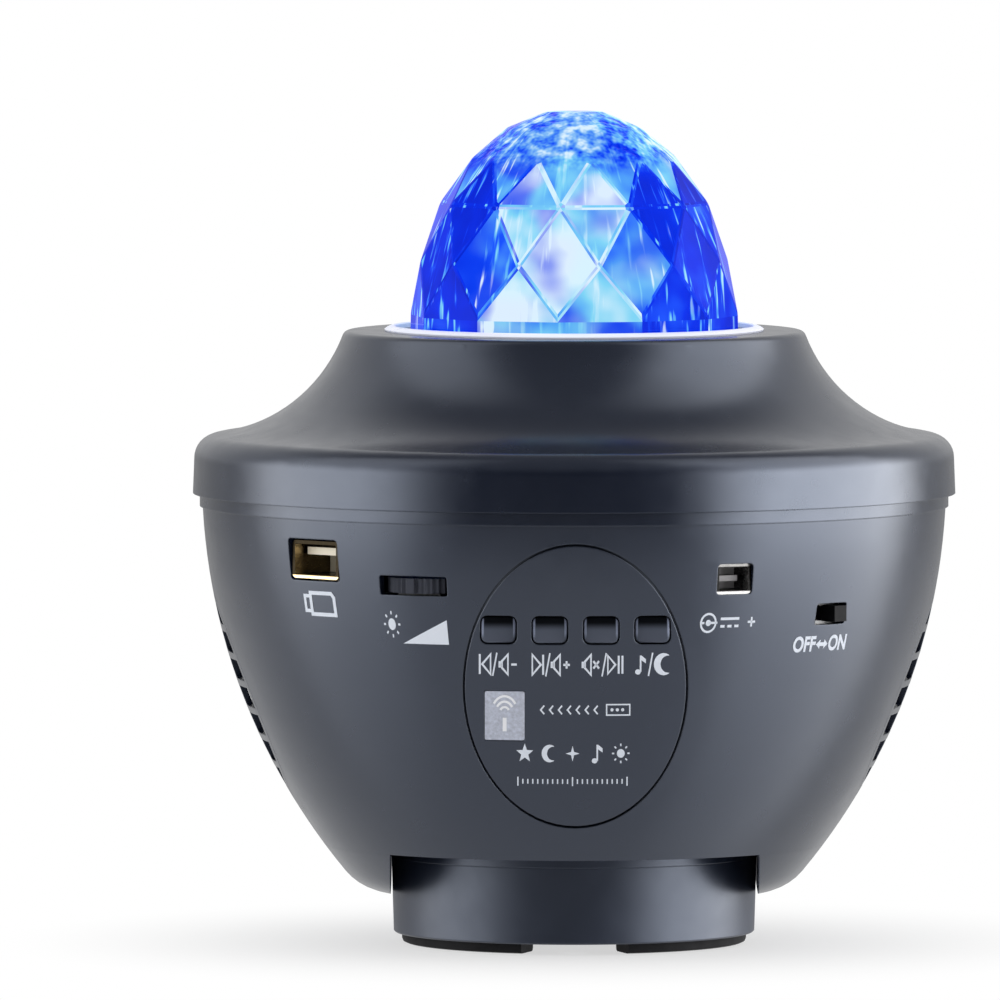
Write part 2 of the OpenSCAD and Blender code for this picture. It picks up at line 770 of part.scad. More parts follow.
module dome() {
    in_r = dome_r * cos(half_facet) - dome_wall;
    in_h = dome_h - 1.5 * dome_wall;
    color(glow_colour) difference() {
        union() {
            polyhedron(points = dome_points(), faces = [for (f = dome_faces()) reversed(f)]);
            post(0, 0, flange_z, flange_z + flange_t, flange_r);
        }
        rotate_extrude() polygon(concat([[0, flange_z - cut], [in_r, flange_z - cut]],
            [for (i = [0:17]) [in_r * cos(5 * i), cover_top + in_h * sin(5 * i)]],
            [[0, cover_top + in_h]]));
    }
}

module dome_retainer() {
    color(dark_colour) difference() {
        translate([0, 0, flange_z - retainer_t]) ring(retainer_r, dome_r - 1.5, retainer_t);
        at_circle(retainer_screw_r, [for (i = [0:2]) 30 + 120 * i])
            post(0, 0, flange_z - retainer_t - cut, flange_z + cut, small_screw[0] + screw_gap);
    }
}

module retainer_screws() {
    color(steel_colour) at_circle(retainer_screw_r, [for (i = [0:2]) 30 + 120 * i])
        translate([0, 0, flange_z - retainer_t]) screw(small_screw, retainer_t + flange_t);
}

// ---- Ripple lens and drive ----

module ripple_lens() {
    n = 6 * ripples;
    outer = [for (i = [0:n]) let (a = 90 * i / n)
        [(lens_r - ripple_d + ripple_d * sin(60 * i)) * cos(a), lens_z + lens_h * sin(a)]];
    inner = [for (i = [n:-2:0]) let (a = 90 * i / n)
        [(lens_r - lens_wall - ripple_d) * cos(a), lens_z + (lens_h - lens_wall) * sin(a)]];
    color([0.7, 0.9, 1, 0.6]) rotate_extrude() polygon(concat([for (p = outer) [max(p[0], 0), p[1]]],
        [for (p = inner) [max(p[0], 0), p[1]]]));
}

function involute_angle(r, base_r) = let (a = acos(min(1, base_r / r))) tan(a) * 180 / PI - a;

// Outline of a spur gear with involute teeth, the first tooth at the given angle
function gear_points(teeth, turn, slack) =
    let (pitch_r = gear_module * teeth / 2, tip_r = pitch_r + gear_module,
        root_r = pitch_r - 1.25 * gear_module,
        base_r = pitch_r * cos(pressure_angle), start_r = max(base_r, root_r), steps = 3,
        half = 90 / teeth - slack / 4 / pitch_r * 180 / PI + involute_angle(pitch_r, base_r),
        flank = [for (i = [0:steps]) let (r = start_r + (tip_r - start_r) * i / steps)
            [r, half - involute_angle(r, base_r)]],
        foot = base_r > root_r ? [[root_r, half]] : [],
        side = concat(foot, flank))
    [for (k = [0:teeth - 1]) each concat(
        [for (p = side) let (a = turn + 360 * k / teeth - p[1]) [p[0] * cos(a), p[0] * sin(a)]],
        [for (p = reversed(side)) let (a = turn + 360 * k / teeth + p[1]) [p[0] * cos(a), p[0] * sin(a)]])];

module ring_gear() {
    bore_r = tower_r + running_gap;
    color([0.9, 0.9, 0.88]) translate([0, 0, gear_z + gear_gap]) difference() {
        union() {
            linear_extrude(height = gear_w) polygon(gear_points(ring_teeth, 90, backlash));
            translate([0, 0, gear_w]) ring(lens_r - 0.1, tower_r, gear_web);
            translate([0, 0, gear_w + gear_web]) ring(lens_r - 0.1, collar_in_r, collar_h);
        }
        translate([0, 0, -cut]) cylinder(r = bore_r, h = gear_w + gear_web + 2 * cut);
    }
}

// Snap ring that keeps the ring gear on its tower
module gear_clip() {
    color(steel_colour) translate([0, 0, gear_top + gear_gap]) difference() {
        ring(tower_r + clip_w, tower_r - clip_groove + screw_gap, clip_t);
        translate([0, -clip_slit / 2, -cut]) cube([2 * tower_r, clip_slit, clip_t + 2 * cut]);
    }
}

module motor() {
    color(steel_colour) difference() {
        union() {
            post(0, motor_y, tray_top, motor_top, motor_r);
            post(0, motor_y, motor_top - cut, motor_top + motor_boss_h, motor_boss_r);
            for (side = [-1, 1])
                post(side * motor_ear_x, motor_y, tray_top, tray_top + motor_ear_t, motor_ear_r);
            translate([-motor_ear_x, motor_y - motor_ear_r, tray_top])
                cube([2 * motor_ear_x, 2 * motor_ear_r, motor_ear_t]);
        }
        post(0, motor_y, motor_top - shaft_in - 0.2, motor_top + motor_boss_h + cut, shaft_r + running_gap);
        for (side = [-1, 1]) post(side * motor_ear_x, motor_y, tray_top - cut, tray_top + motor_ear_t + cut,
            small_screw[0] + screw_gap);
    }
}

module motor_screws() {
    color(steel_colour) for (side = [-1, 1])
        translate([side * motor_ear_x, motor_y, tray_top + motor_ear_t]) mirror([0, 0, 1])
            screw(small_screw, motor_ear_t + tray_t + 1);
}

module motor_shaft() {
    color(steel_colour)
        post(0, motor_y, motor_top - shaft_in, gear_z - pinion_over + pinion_h + shaft_over, shaft_r);
}

module pinion() {
    color([0.92, 0.92, 0.9]) translate([0, motor_y, gear_z - pinion_over]) difference() {
        linear_extrude(height = pinion_h) polygon(gear_points(pinion_teeth, 90 + 180 / pinion_teeth
            * (pinion_teeth % 2 == 0 ? 1 : 0), backlash));
        translate([0, 0, -cut]) cylinder(r = shaft_r + 0.02, h = pinion_h + 2 * cut);
    }
}

module light_tray() {
    color([0.8, 0.8, 0.8]) difference() {
        union() {
            post(0, 0, tray_z, tray_top, tray_r);
            translate([0, 0, tray_top]) ring(tower_r, tower_r - tower_wall, tower_h);
            translate([0, 0, gear_z - ledge_h]) ring(tower_r + ledge_w, tower_r - tower_wall, ledge_h);
        }
        translate([0, 0, gear_top + gear_gap - 0.05])
            ring(tower_r + cut, tower_r - clip_groove, clip_t + 0.1);
        at_corners(pillar_x, pillar_y) post(0, 0, tray_z - cut, tray_top + cut, big_screw[0] + screw_gap);
        for (side = [-1, 1]) {
            post(side * motor_ear_x, motor_y, tray_z - cut, tray_top + cut, small_screw[0] + screw_gap);
            translate([side * (tray_r - 1.5 * cable_slot_w), 0, tray_z - cut])
                translate([-cable_slot_w / 2, -cable_slot_l / 2, 0])
                    cube([cable_slot_w, cable_slot_l, tray_t + 2 * cut]);
        }
    }
}

// Finned block under the light board, with a bore for the star module
module heat_sink() {
    fin_pitch = 4.4;
    color([0.6, 0.62, 0.64]) difference() {
        post(0, 0, tray_top, tower_top, led_board_r);
        post(0, 0, tray_top - cut, tower_top + cut, laser_r + screw_gap);
        for (i = [-4:4]) if (abs(i) > 1)
            translate([i * fin_pitch - 1, -tower_r, tray_top - cut])
                cube([2, 2 * tower_r, tower_h - 6 + cut]);
    }
}

module led_board() {
    color(board_colour) translate([0, 0, tower_top]) ring(led_board_r, laser_r + screw_gap, led_board_t);
}

module led_chips() {
    color([0.95, 0.95, 0.85]) at_circle(led_ring_r, [for (i = [0:5]) 60 * i])
        translate([-led_w / 2, -led_w / 2, tower_top + led_board_t]) cube([led_w, led_w, led_h]);
}

module laser_module() {
    color(gold_colour) difference() {
        post(0, 0, tray_top, tray_top + laser_h, laser_r);
        post(0, 0, tray_top + laser_h - laser_mouth, tray_top + laser_h + cut, laser_r - 0.8);
    }
}

module laser_lens() {
    color([0.6, 0.2, 0.2])
        post(0, 0, tray_top + laser_h - laser_mouth, tray_top + laser_h - laser_mouth / 4, laser_r - 0.9);
}

// ---- Control panel and boards ----

module window_opening(gap) {
    front_prism(moved(rounded(window_w + 2 * gap, window_h + 2 * gap, 0.4), window_x, window_z),
        board_y, 2 * lip_r);
}

module control_panel() {
    color(shell_colour) difference() {
        intersection() {
            flank_band(0, panel_t, panel_z - panel_b - 2, panel_z + panel_b + 2);
            front_prism(moved(oval(panel_a, panel_b), 0, panel_z), lip_r / 2, lip_r + 5);
        }
        button_openings(button_gap);
        window_opening(0.1);
    }
}

module receiver_window() {
    color([0.7, 0.7, 0.74]) intersection() {
        flank_band(0, window_t, window_z - window_h, window_z + window_h);
        front_prism(moved(rounded(window_w, window_h, 0.4), window_x, window_z), board_y + 1, lip_r + 5);
    }
}

// A button: the cap, the flange that keeps it in, and the stem that meets its switch
module button(x) {
    face = sqrt(pow(wall_r(button_z - button_h / 2), 2) - x * x) - 0.3;
    flange_x = abs(x) + button_w / 2 + button_flange;
    flange_r = flank_at(button_z - button_h / 2 - button_flange, inner_t);
    flange_y = sqrt(pow(flange_r, 2) - pow(flange_x, 2)) - 0.3;
    color(shell_colour) {
        front_prism(moved(rounded(button_w, button_h, button_r), x, button_z),
            flange_y - button_flange_t, face);
        front_prism(moved(rounded(button_w + 2 * button_flange, button_h + 2 * button_flange, button_r), x,
            button_z), flange_y - button_flange_t, flange_y);
        front_prism(moved(rounded(3, 3, 0.5), x, button_z), button_back_y, flange_y);
    }
}

module button_1() { button(button_x[0]); }
module button_2() { button(button_x[1]); }
module button_3() { button(button_x[2]); }
module button_4() { button(button_x[3]); }

module main_board() {
    color(board_colour) difference() {
        translate([-board_w / 2, -board_y, board_bottom_z]) cube([board_w, board_t, board_h]);
        for (p = board_posts) translate([p[0], -board_y - cut, p[1]]) rotate([-90, 0, 0])
            cylinder(r = small_screw[0] + screw_gap, h = board_t + 2 * cut);
    }
}

module board_screws() {
    color(steel_colour) for (p = board_posts) translate([p[0], board_t - board_y, p[1]]) rotate([90, 0, 0])
        screw(small_screw, board_t + board_screw_in);
}

module tact_switches() {
    color(dark_colour) for (x = button_x) translate([x, -board_y, button_z]) rotate([90, 0, 0]) {
        translate([-tact_w / 2, -tact_w / 2, 0]) cube([tact_w, tact_w, tact_h]);
        cylinder(r = plunger_r, h = tact_h + plunger_h);
    }
}

module ir_receiver() {
    color(dark_colour) translate([window_x, -board_y, window_z]) rotate([90, 0, 0]) {
        translate([-ir_w / 2, -ir_h / 2, 0]) cube([ir_w, ir_h, ir_t]);
        cylinder(r = ir_lens_r, h = ir_t + ir_lens_out);
    }
}

// ---- Ports ----

module port_board() {
    color(board_colour) difference() {
        rotate([0, 0, -90 - port_board_half]) rotate_extrude(angle = 2 * port_board_half)
            translate([port_board_r - port_board_w, port_board_z]) square([port_board_w, board_t]);
        for (a = port_posts) rotate([0, 0, a - 90])
            post(port_board_r - port_edge, 0, port_board_z - cut, port_board_top + cut,
                small_screw[0] + screw_gap);
        rotate([0, 0, dimmer_angle - 90])
            post(wheel_axis_r, 0, port_board_z - cut, port_board_top + cut, wheel_pin_r + running_gap);
    }
}

module port_screws() {
    color(steel_colour) for (a = port_posts) rotate([0, 0, a - 90])
        translate([port_board_r - port_edge, 0, port_board_top]) mirror([0, 0, 1])
            screw(small_screw, board_t + port_screw_in);
}

// Metal sleeve of a socket, with a turned-out rim at its mouth and a closed back
module socket_shell(w, h, depth) {
    rim = 0.35;
    rotate([-90, 0, 0]) {
        difference() {
            union() {
                linear_extrude(height = depth) polygon(rounded(w, h, 0.7));
                linear_extrude(height = sheet_t) polygon(rounded(w + 2 * rim, h + 2 * rim, 0.9));
            }
            translate([0, 0, -cut]) linear_extrude(height = depth - sheet_t + cut)
                polygon(rounded(w - 2 * sheet_t, h - 2 * sheet_t, 0.4));
        }
    }
}

// Plastic core of a socket: the tongue, the block behind it, and the foot down to the board
module socket_core(w, h, depth, tongue_w, tongue_h, tongue_z) {
    in_w = w - 2 * sheet_t - 0.2;
    in_h = h - 2 * sheet_t - 0.2;
    back = depth - sheet_t - 0.1;
    block = 3;
    translate([-tongue_w / 2, tongue_in, tongue_z - tongue_h / 2])
        cube([tongue_w, back - tongue_in, tongue_h]);
    translate([-in_w / 2, back - block, -in_h / 2]) cube([in_w, block, in_h]);
}

// Plastic foot between a socket and the board
module socket_foot(w, h, depth, z) {
    foot_h = z - h / 2 - port_board_top;
    front = wall_r(z) - port_recess - port_board_r + 0.3;
    translate([-w / 2, front, -h / 2 - foot_h]) cube([w, depth - front, foot_h]);
}

module usb_shell() {
    color(gold_colour) on_wall(usb_angle, usb_z, port_recess) socket_shell(usb_w, usb_h, usb_depth);
}

module usb_insulator() {
    color([0.9, 0.88, 0.8]) on_wall(usb_angle, usb_z, port_recess) {
        socket_core(usb_w, usb_h, usb_depth, usb_w - 2.4, tongue_t, usb_h / 2 - sheet_t - tongue_t);
        socket_foot(usb_w, usb_h, usb_depth, usb_z);
    }
}

module dc_shell() {
    color(steel_colour) on_wall(dc_angle, dc_z, port_recess) socket_shell(dc_w, dc_h, dc_depth);
}

module dc_insulator() {
    color(dark_colour) on_wall(dc_angle, dc_z, port_recess) {
        socket_core(dc_w, dc_h, dc_depth, dc_w - 3, 0.75 * tongue_t, 0);
        socket_foot(dc_w, dc_h, dc_depth, dc_z);
    }
}

module at_wheel() {
    rotate([0, 0, dimmer_angle]) translate([0, -wheel_axis_r, 0]) children();
}

module dimmer_body() {
    top = dimmer_z - wheel_t / 2 - 0.2;
    color(dark_colour) at_wheel() difference() {
        translate([-dimmer_half, -dimmer_half, port_board_top])
            cube([2 * dimmer_half, 2 * dimmer_half, top - port_board_top]);
        post(0, 0, port_board_top - cut, top + cut, wheel_pin_r + running_gap);
    }
}

module dimmer_wheel() {
    points = [for (i = [0:2 * wheel_knurls - 1]) let (a = -90 + 180 * (i + 0.5) / wheel_knurls,
        r = wheel_r - (i % 2 == 0 ? 0 : knurl_d)) [r * cos(a), r * sin(a)]];
    color(dark_colour) at_wheel() {
        translate([0, 0, dimmer_z - wheel_t / 2]) linear_extrude(height = wheel_t) polygon(points);
        translate([-index_w / 2, -wheel_r - index_d, dimmer_z - wheel_t / 2])
            cube([index_w, index_d + 2 * knurl_d + 1, wheel_t]);
        post(0, 0, port_board_z, dimmer_z, wheel_pin_r);
    }
}

module at_switch() {
    rotate([0, 0, switch_angle]) translate([0, -wall_r(switch_z), switch_z]) children();
}

module switch_body() {
    face_y = wall + 1.4;
    below = lever_h / 2 + 0.9;
    color(steel_colour) at_switch() difference() {
        translate([-switch_body_w / 2, face_y, -below])
            cube([switch_body_w, switch_body_d, port_board_z - switch_z + below]);
        translate([-switch_slot_w / 2 - 0.4, face_y - cut, -lever_h / 2 + 0.2])
            cube([switch_slot_w + 0.8, switch_body_d - 2 + cut, lever_h - 0.4]);
    }
}

// The lever rests at its ON end, to the right
module switch_lever() {
    color(dark_colour) at_switch() translate([switch_travel / 2, 0, 0]) {
        translate([-lever_w / 2, -lever_out, -lever_h / 2]) cube([lever_w, lever_out + wall + 1, lever_h]);
        translate([-lever_w / 2 + 0.2, wall, -lever_h / 2 + 0.5]) cube([lever_w - 0.4, 4, lever_h - 1]);
    }
}

// ---- Speakers ----

// Local +Z points out through the grille, from the plane that the frame seats on
module at_speaker(side) {
    rotate([0, 0, side > 0 ? 0 : 180]) translate([speaker_x, 0, speaker_z])
        rotate([0, 90 + speaker_tilt, 0]) children();
}

module speaker_frame() {
    in_r = cone_r + 0.4;
    opening_w = 12;
    // The wall stays straight as far down as the cone's edge travels
    neck_z = cone_edge_z - cone_travel - 0.5;
    color(dark_colour) difference() {
        rotate_extrude() polygon([
            [speaker_r, 0], [speaker_r, -speaker_flange_t], [in_r + 1.2, -speaker_flange_t],
            [in_r + 1.2, neck_z], [basket_r, -basket_h], [basket_r, -basket_h - 1.2],
            [7, -basket_h - 1.2], [7, -basket_h], [basket_r - 1.2, -basket_h], [in_r, neck_z], [in_r, 0]
        ]);
        for (a = [45, 135]) rotate([0, 0, a])
            translate([-speaker_r, -opening_w / 2, -basket_h + 1.5])
                cube([2 * speaker_r, opening_w, basket_h - 4]);
    }
}

module speaker_magnet() {
    color(steel_colour) translate([0, 0, -basket_h - 1.2 - magnet_h]) cylinder(r = magnet_r, h = magnet_h);
}

module speaker_cone() {
    coil_r = 6;
    coil_end = cone_travel + 0.6 - basket_h;
    color([0.12, 0.12, 0.13]) rotate_extrude() polygon(concat(
        [[0, -4.2], [3, -4.8], [coil_r, -6.6], [cone_r - 3.4, -0.8]],
        arc([cone_r - 1.9, -0.8], 1.3, 180, 0, 6),
        [[cone_r, -0.8], [cone_r, cone_edge_z], [cone_r - 3.2, cone_edge_z]],
        [[coil_r + 0.4, -7.6], [coil_r + 0.4, coil_end], [coil_r - 0.4, coil_end], [coil_r - 0.4, -7.2],
            [3, -5.6], [0, -5]]));
}

module speaker_frame_left() { at_speaker(-1) speaker_frame(); }
module speaker_magnet_left() { at_speaker(-1) speaker_magnet(); }
module speaker_cone_left() { at_speaker(-1) speaker_cone(); }
module speaker_frame_right() { at_speaker(1) speaker_frame(); }
module speaker_magnet_right() { at_speaker(1) speaker_magnet(); }
module speaker_cone_right() { at_speaker(1) speaker_cone(); }

base_drum();
base_plate();
rubber_feet();
plate_screws();
base_screws();
bowl();
bowl_cheeks();
grille_left();
grille_right();
top_cover();
cover_screws();
dome();
dome_retainer();
retainer_screws();
ripple_lens();
ring_gear();
gear_clip();
motor();
motor_screws();
motor_shaft();
pinion();
light_tray();
heat_sink();
led_board();
led_chips();
laser_module();
laser_lens();
control_panel();
receiver_window();
button_1();
button_2();
button_3();
button_4();
main_board();
board_screws();
tact_switches();
ir_receiver();
port_board();
port_screws();
usb_shell();
usb_insulator();
dc_shell();
dc_insulator();
dimmer_body();
dimmer_wheel();
switch_body();
switch_lever();
speaker_frame_left();
speaker_magnet_left();
speaker_cone_left();
speaker_frame_right();
speaker_magnet_right();
speaker_cone_right();
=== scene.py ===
import json
import math
import random

import bmesh
import bpy
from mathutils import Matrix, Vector
from mathutils.bvhtree import BVHTree


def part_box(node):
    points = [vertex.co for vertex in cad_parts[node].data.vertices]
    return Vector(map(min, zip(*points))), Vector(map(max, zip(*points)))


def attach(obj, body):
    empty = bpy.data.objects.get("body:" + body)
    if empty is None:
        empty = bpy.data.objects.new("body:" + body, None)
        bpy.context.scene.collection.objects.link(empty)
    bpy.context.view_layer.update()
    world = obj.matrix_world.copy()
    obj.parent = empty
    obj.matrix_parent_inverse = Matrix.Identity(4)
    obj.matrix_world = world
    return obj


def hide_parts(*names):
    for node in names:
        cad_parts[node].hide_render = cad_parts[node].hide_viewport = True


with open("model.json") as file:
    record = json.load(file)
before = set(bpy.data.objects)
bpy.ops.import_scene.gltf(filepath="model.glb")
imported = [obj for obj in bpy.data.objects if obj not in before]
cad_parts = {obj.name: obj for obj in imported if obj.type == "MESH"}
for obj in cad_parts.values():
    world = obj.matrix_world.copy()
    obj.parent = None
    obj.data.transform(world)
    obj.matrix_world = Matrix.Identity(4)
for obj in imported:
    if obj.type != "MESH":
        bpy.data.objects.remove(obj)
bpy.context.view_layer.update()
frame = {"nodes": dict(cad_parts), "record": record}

# The looks of the star night light projector. The CAD nodes get materials and smooth shading. The
# dome is replaced by one with eased edges, and its seal, the top of the drum's wall and the prints
# are added. Lengths are in metres, apart from the prints, which are drawn in millimetres.

MM = 0.001
NODES = frame["nodes"]
RNG = random.Random(7)


def add_object(name, data):
    """A new object in the scene."""
    item = bpy.data.objects.new(name, data)
    bpy.context.scene.collection.objects.link(item)
    return item


def mesh_from(bm, name):
    """The mesh of a finished bmesh."""
    mesh = bpy.data.meshes.new(name)
    bm.to_mesh(mesh)
    bm.free()
    return mesh


def look_along(item, way):
    item.rotation_mode = "QUATERNION"
    item.rotation_quaternion = way.to_track_quat("-Z", "Y")


# ---------------------------------------------------------------- camera

VIEW_ELEVATION = math.radians(3.2)
VIEW_DISTANCE = 4.0
VIEW_CENTRE = Vector((-0.0161, 0, 0.096))
LENS, SENSOR = 663, 36
NEAREST, FARTHEST = 0.05, 50


def make_camera():
    back = Vector((0, -math.cos(VIEW_ELEVATION), math.sin(VIEW_ELEVATION)))
    camera = add_object("camera", bpy.data.cameras.new("camera"))
    camera.data.lens, camera.data.sensor_width = LENS, SENSOR
    camera.data.clip_start, camera.data.clip_end = NEAREST, FARTHEST
    camera.location = VIEW_CENTRE + back * VIEW_DISTANCE
    look_along(camera, -back)
    bpy.context.scene.camera = camera


# ---------------------------------------------------------------- node kit

NOISE_SPAN = (0.3, 0.7)     # most values of a noise texture lie between these


class Tree:
    """Short calls that add nodes to one tree and return the socket that the next call needs."""

    def __init__(self, tree):
        self.tree = tree

    def add(self, kind, inputs=None, **settings):
        node = self.tree.nodes.new(kind)
        for key, value in settings.items():
            setattr(node, key, value)
        for key, value in (inputs or {}).items():
            self.set(node.inputs[key], value)
        return node

    def set(self, socket, value):
        if isinstance(value, bpy.types.NodeSocket):
            self.tree.links.new(value, socket)
        else:
            socket.default_value = value

    def place(self, kind="Object"):
        return self.add("ShaderNodeTexCoord").outputs[kind]

    def parts(self, vector):
        """The X, Y and Z of a vector, by name."""
        return self.add("ShaderNodeSeparateXYZ", {"Vector": vector}).outputs

    def along(self, vector, way):
        """How far a vector reaches in the direction way."""
        dot = self.add("ShaderNodeVectorMath", {0: vector, 1: way}, operation="DOT_PRODUCT")
        return dot.outputs["Value"]

    def noise(self, scale, detail=3.0, rough=0.55, at=None, w=0.0):
        inputs = {"Vector": at or self.place(), "W": w, "Scale": scale, "Detail": detail,
                  "Roughness": rough}
        return self.add("ShaderNodeTexNoise", inputs, noise_dimensions="4D").outputs["Fac"]

    def mapped(self, value, low, high, to_low=0.0, to_high=1.0, smooth=False):
        kind = "SMOOTHSTEP" if smooth else "LINEAR"
        inputs = {"Value": value, "From Min": low, "From Max": high, "To Min": to_low,
                  "To Max": to_high}
        return self.add("ShaderNodeMapRange", inputs, interpolation_type=kind).outputs["Result"]

    def between(self, share, a, b):
        """The number that lies this share of the way from a to b."""
        return self.mapped(share, 0.0, 1.0, a, b)

    def math(self, operation, a, b=0.0, c=0.0):
        return self.add("ShaderNodeMath", {0: a, 1: b, 2: c}, operation=operation).outputs[0]

    def turn(self, parts):
        """The angle round the object's axis, from X towards Y."""
        return self.math("ARCTAN2", parts["Y"], parts["X"])

    def wave(self, turn, count, start):
        """A cosine with this many crests round the axis, one of them at start."""
        return self.math("COSINE", self.math("MULTIPLY", self.math("SUBTRACT", turn, start), count))

    def mix(self, share, a, b):
        """The colour that lies this share of the way from a to b."""
        return self.add("ShaderNodeMix", {0: share, 6: a, 7: b}, data_type="RGBA").outputs[2]

    def ramp(self, value, stops):
        node = self.add("ShaderNodeValToRGB", {"Fac": value})
        while len(node.color_ramp.elements) < len(stops):
            node.color_ramp.elements.new(0.5)
        for element, (position, colour) in zip(node.color_ramp.elements, stops):
            element.position = position
            element.color = (*colour, 1)
        return node.outputs["Color"]

    def bump(self, height, depth, normal=None):
        inputs = {"Height": height, "Strength": 1.0, "Distance": depth}
        if normal is not None:
            inputs["Normal"] = normal
        return self.add("ShaderNodeBump", inputs).outputs["Normal"]


def opened(material):
    """The material's Principled shader, and a Tree that adds to its nodes."""
    return material.node_tree.nodes["Principled BSDF"], Tree(material.node_tree)


def new_material(name):
    material = bpy.data.materials.new(name)
    material.use_nodes = True
    return material, *opened(material)


def settle(shader, **plain):
    """Sets the Principled values that are the same all over."""
    for key, value in plain.items():
        shader.inputs[key.replace("_", " ")].default_value = value


def rgba(colour, factor=1.0):
    return (*[min(1.0, c * factor) for c in colour], 1)


# ---------------------------------------------------------------- kinds of material

ROUGH_DRIFT = 160
BRUSH_ACROSS, BRUSH_ALONG = 2600.0, 90.0
BRUSH_DEPTH = 0.000008


def surface(name, colour, rough, mottle=0.05, spread=0.06, grain=None, edge=0.0, drift=45,
            joint=None, **plain):
    """A Principled material whose colour and roughness drift slowly over the piece.

    mottle and spread say how far the colour and the roughness drift, and drift is the scale of the
    colour's. grain is (scale per metre, depth in metres) of a moulded or cast texture, and edge the
    radius to which sharp edges are rounded, apart from those at the height joint, where two nodes
    are one moulding. plain holds Principled values that are the same all over."""
    material, shader, tree = new_material(name)
    shade = tree.mix(tree.noise(drift, 4), rgba(colour, 1 - mottle), rgba(colour, 1 + mottle))
    tree.set(shader.inputs["Base Color"], shade)
    patches = tree.noise(ROUGH_DRIFT, 5)
    tree.set(shader.inputs["Roughness"],
             tree.mapped(patches, *NOISE_SPAN, rough - spread, rough + spread))
    normal = None
    if edge:
        normal = tree.add("ShaderNodeBevel", {"Radius": edge}, samples=4).outputs["Normal"]
    if joint is not None:
        height = tree.parts(tree.place())["Z"]
        apart = tree.math("ABSOLUTE", tree.math("SUBTRACT", height, joint))
        unbevelled = tree.add("ShaderNodeNewGeometry").outputs["Normal"]
        normal = tree.mix(tree.mapped(apart, 1.5 * edge, 2 * edge), unbevelled, normal)
    if grain:
        scale, depth = grain
        normal = tree.bump(tree.noise(scale, 2), depth, normal)
    if normal is not None:
        tree.set(shader.inputs["Normal"], normal)
    settle(shader, **plain)
    return material


def brushed(name, colour, rough, along):
    """Metal drawn or turned along one axis: fine streaks in its roughness and height."""
    material = surface(name, colour, rough, mottle=0.03, Metallic=1.0)
    shader, tree = opened(material)
    scale = [BRUSH_ALONG if axis == along else BRUSH_ACROSS for axis in "XYZ"]
    stretched = tree.add("ShaderNodeMapping", {"Vector": tree.place(), "Scale": scale})
    streaks = tree.noise(1.0, 2, at=stretched.outputs["Vector"])
    tree.set(shader.inputs["Roughness"],
             tree.mapped(streaks, *NOISE_SPAN, rough - 0.08, rough + 0.1))
    tree.set(shader.inputs["Normal"], tree.bump(streaks, BRUSH_DEPTH))
    return material


# ---------------------------------------------------------------- board, lens and dome

BOARD_GREEN, TRACK_GREEN = (0.012, 0.09, 0.035), (0.03, 0.17, 0.06)
BLACK, WHITE = (0, 0, 0, 1), (1, 1, 1, 1)


def board_material():
    """Green laminate with tracks that show faintly through the mask."""
    material = surface("laminate", BOARD_GREEN, 0.35, mottle=0.1)
    shader, tree = opened(material)
    pattern = {"Vector": tree.place(), "Scale": 260.0, "Mortar Size": 0.012, "Color1": BLACK,
               "Color2": BLACK, "Mortar": WHITE}
    tracks = tree.add("ShaderNodeTexBrick", pattern).outputs["Color"]
    tree.set(shader.inputs["Base Color"], tree.mix(tracks, rgba(BOARD_GREEN), rgba(TRACK_GREEN)))
    return material


LENS_LOBES = 4.0
LENS_TURN = math.radians(-98)
LENS_BLUE = (0.02, 0.05, 0.3, 1)
LENS_LIGHT = [
    (0.0, (0.0, 0.010, 0.62)), (0.30, (0.002, 0.022, 0.85)), (0.44, (0.10, 0.10, 0.90)),
    (0.56, (0.05, 0.30, 0.92)), (0.70, (0.28, 0.74, 0.95)), (0.86, (0.92, 1.0, 1.0)),
]
LOBE_LIGHT, CLOUD_LIGHT, SWIRL_LIGHT = 0.42, 0.55, 0.09


def lens_material():
    """The ripple lens, lit from below: bright lobes over the lamps and deep blue between them."""
    material, shader, tree = new_material("lit_lens")
    place = tree.place()
    wave = tree.wave(tree.turn(tree.parts(place)), LENS_LOBES, LENS_TURN)
    lobe = tree.mapped(wave, -0.2, 1.0, 0.0, LOBE_LIGHT, smooth=True)
    cloud = tree.mapped(tree.noise(95, 3, 0.5, place), 0.3, 0.72, 0.0, CLOUD_LIGHT)
    swirl = tree.noise(420, 3, 0.6, place)
    swirl = tree.mapped(swirl, 0.35, 0.65, -SWIRL_LIGHT, SWIRL_LIGHT)
    light = tree.math("ADD", tree.math("ADD", lobe, cloud), swirl)
    tree.set(shader.inputs["Emission Color"], tree.ramp(light, LENS_LIGHT))
    settle(shader, Base_Color=LENS_BLUE, Emission_Strength=1.25, Roughness=0.15)
    return material


VIOLET_GLOW = [
    (0.0, (0.0, 0.010, 0.50)), (0.22, (0.0, 0.020, 0.72)), (0.36, (0.002, 0.045, 0.84)),
    (0.50, (0.03, 0.10, 0.86)), (0.64, (0.28, 0.36, 0.88)), (0.80, (0.78, 0.92, 0.98)),
]
CYAN_GLOW = [
    (0.0, (0.0, 0.012, 0.56)), (0.22, (0.0, 0.024, 0.80)), (0.36, (0.010, 0.09, 0.95)),
    (0.50, (0.10, 0.42, 0.90)), (0.64, (0.24, 0.72, 0.90)), (0.80, (0.74, 0.96, 0.98)),
]
DOME_BLUE = (0.0, 0.006, 0.12, 1)
DOME_SHEEN = (0.20, 0.35, 1.0, 1)
DOME_LOBES = 3.0
DOME_TURN = math.radians(-91.5)
HAMMERED_FROM, HAMMERED_TO = 0.1670, 0.1725     # the heights between which the top's dimples begin
DIMPLE_DEPTH = 0.0012
TOP_TONES = (0.46, 0.62)    # between the lamps and over them
CLOUD_TONE, DIMPLE_TONE = 0.18, 0.28
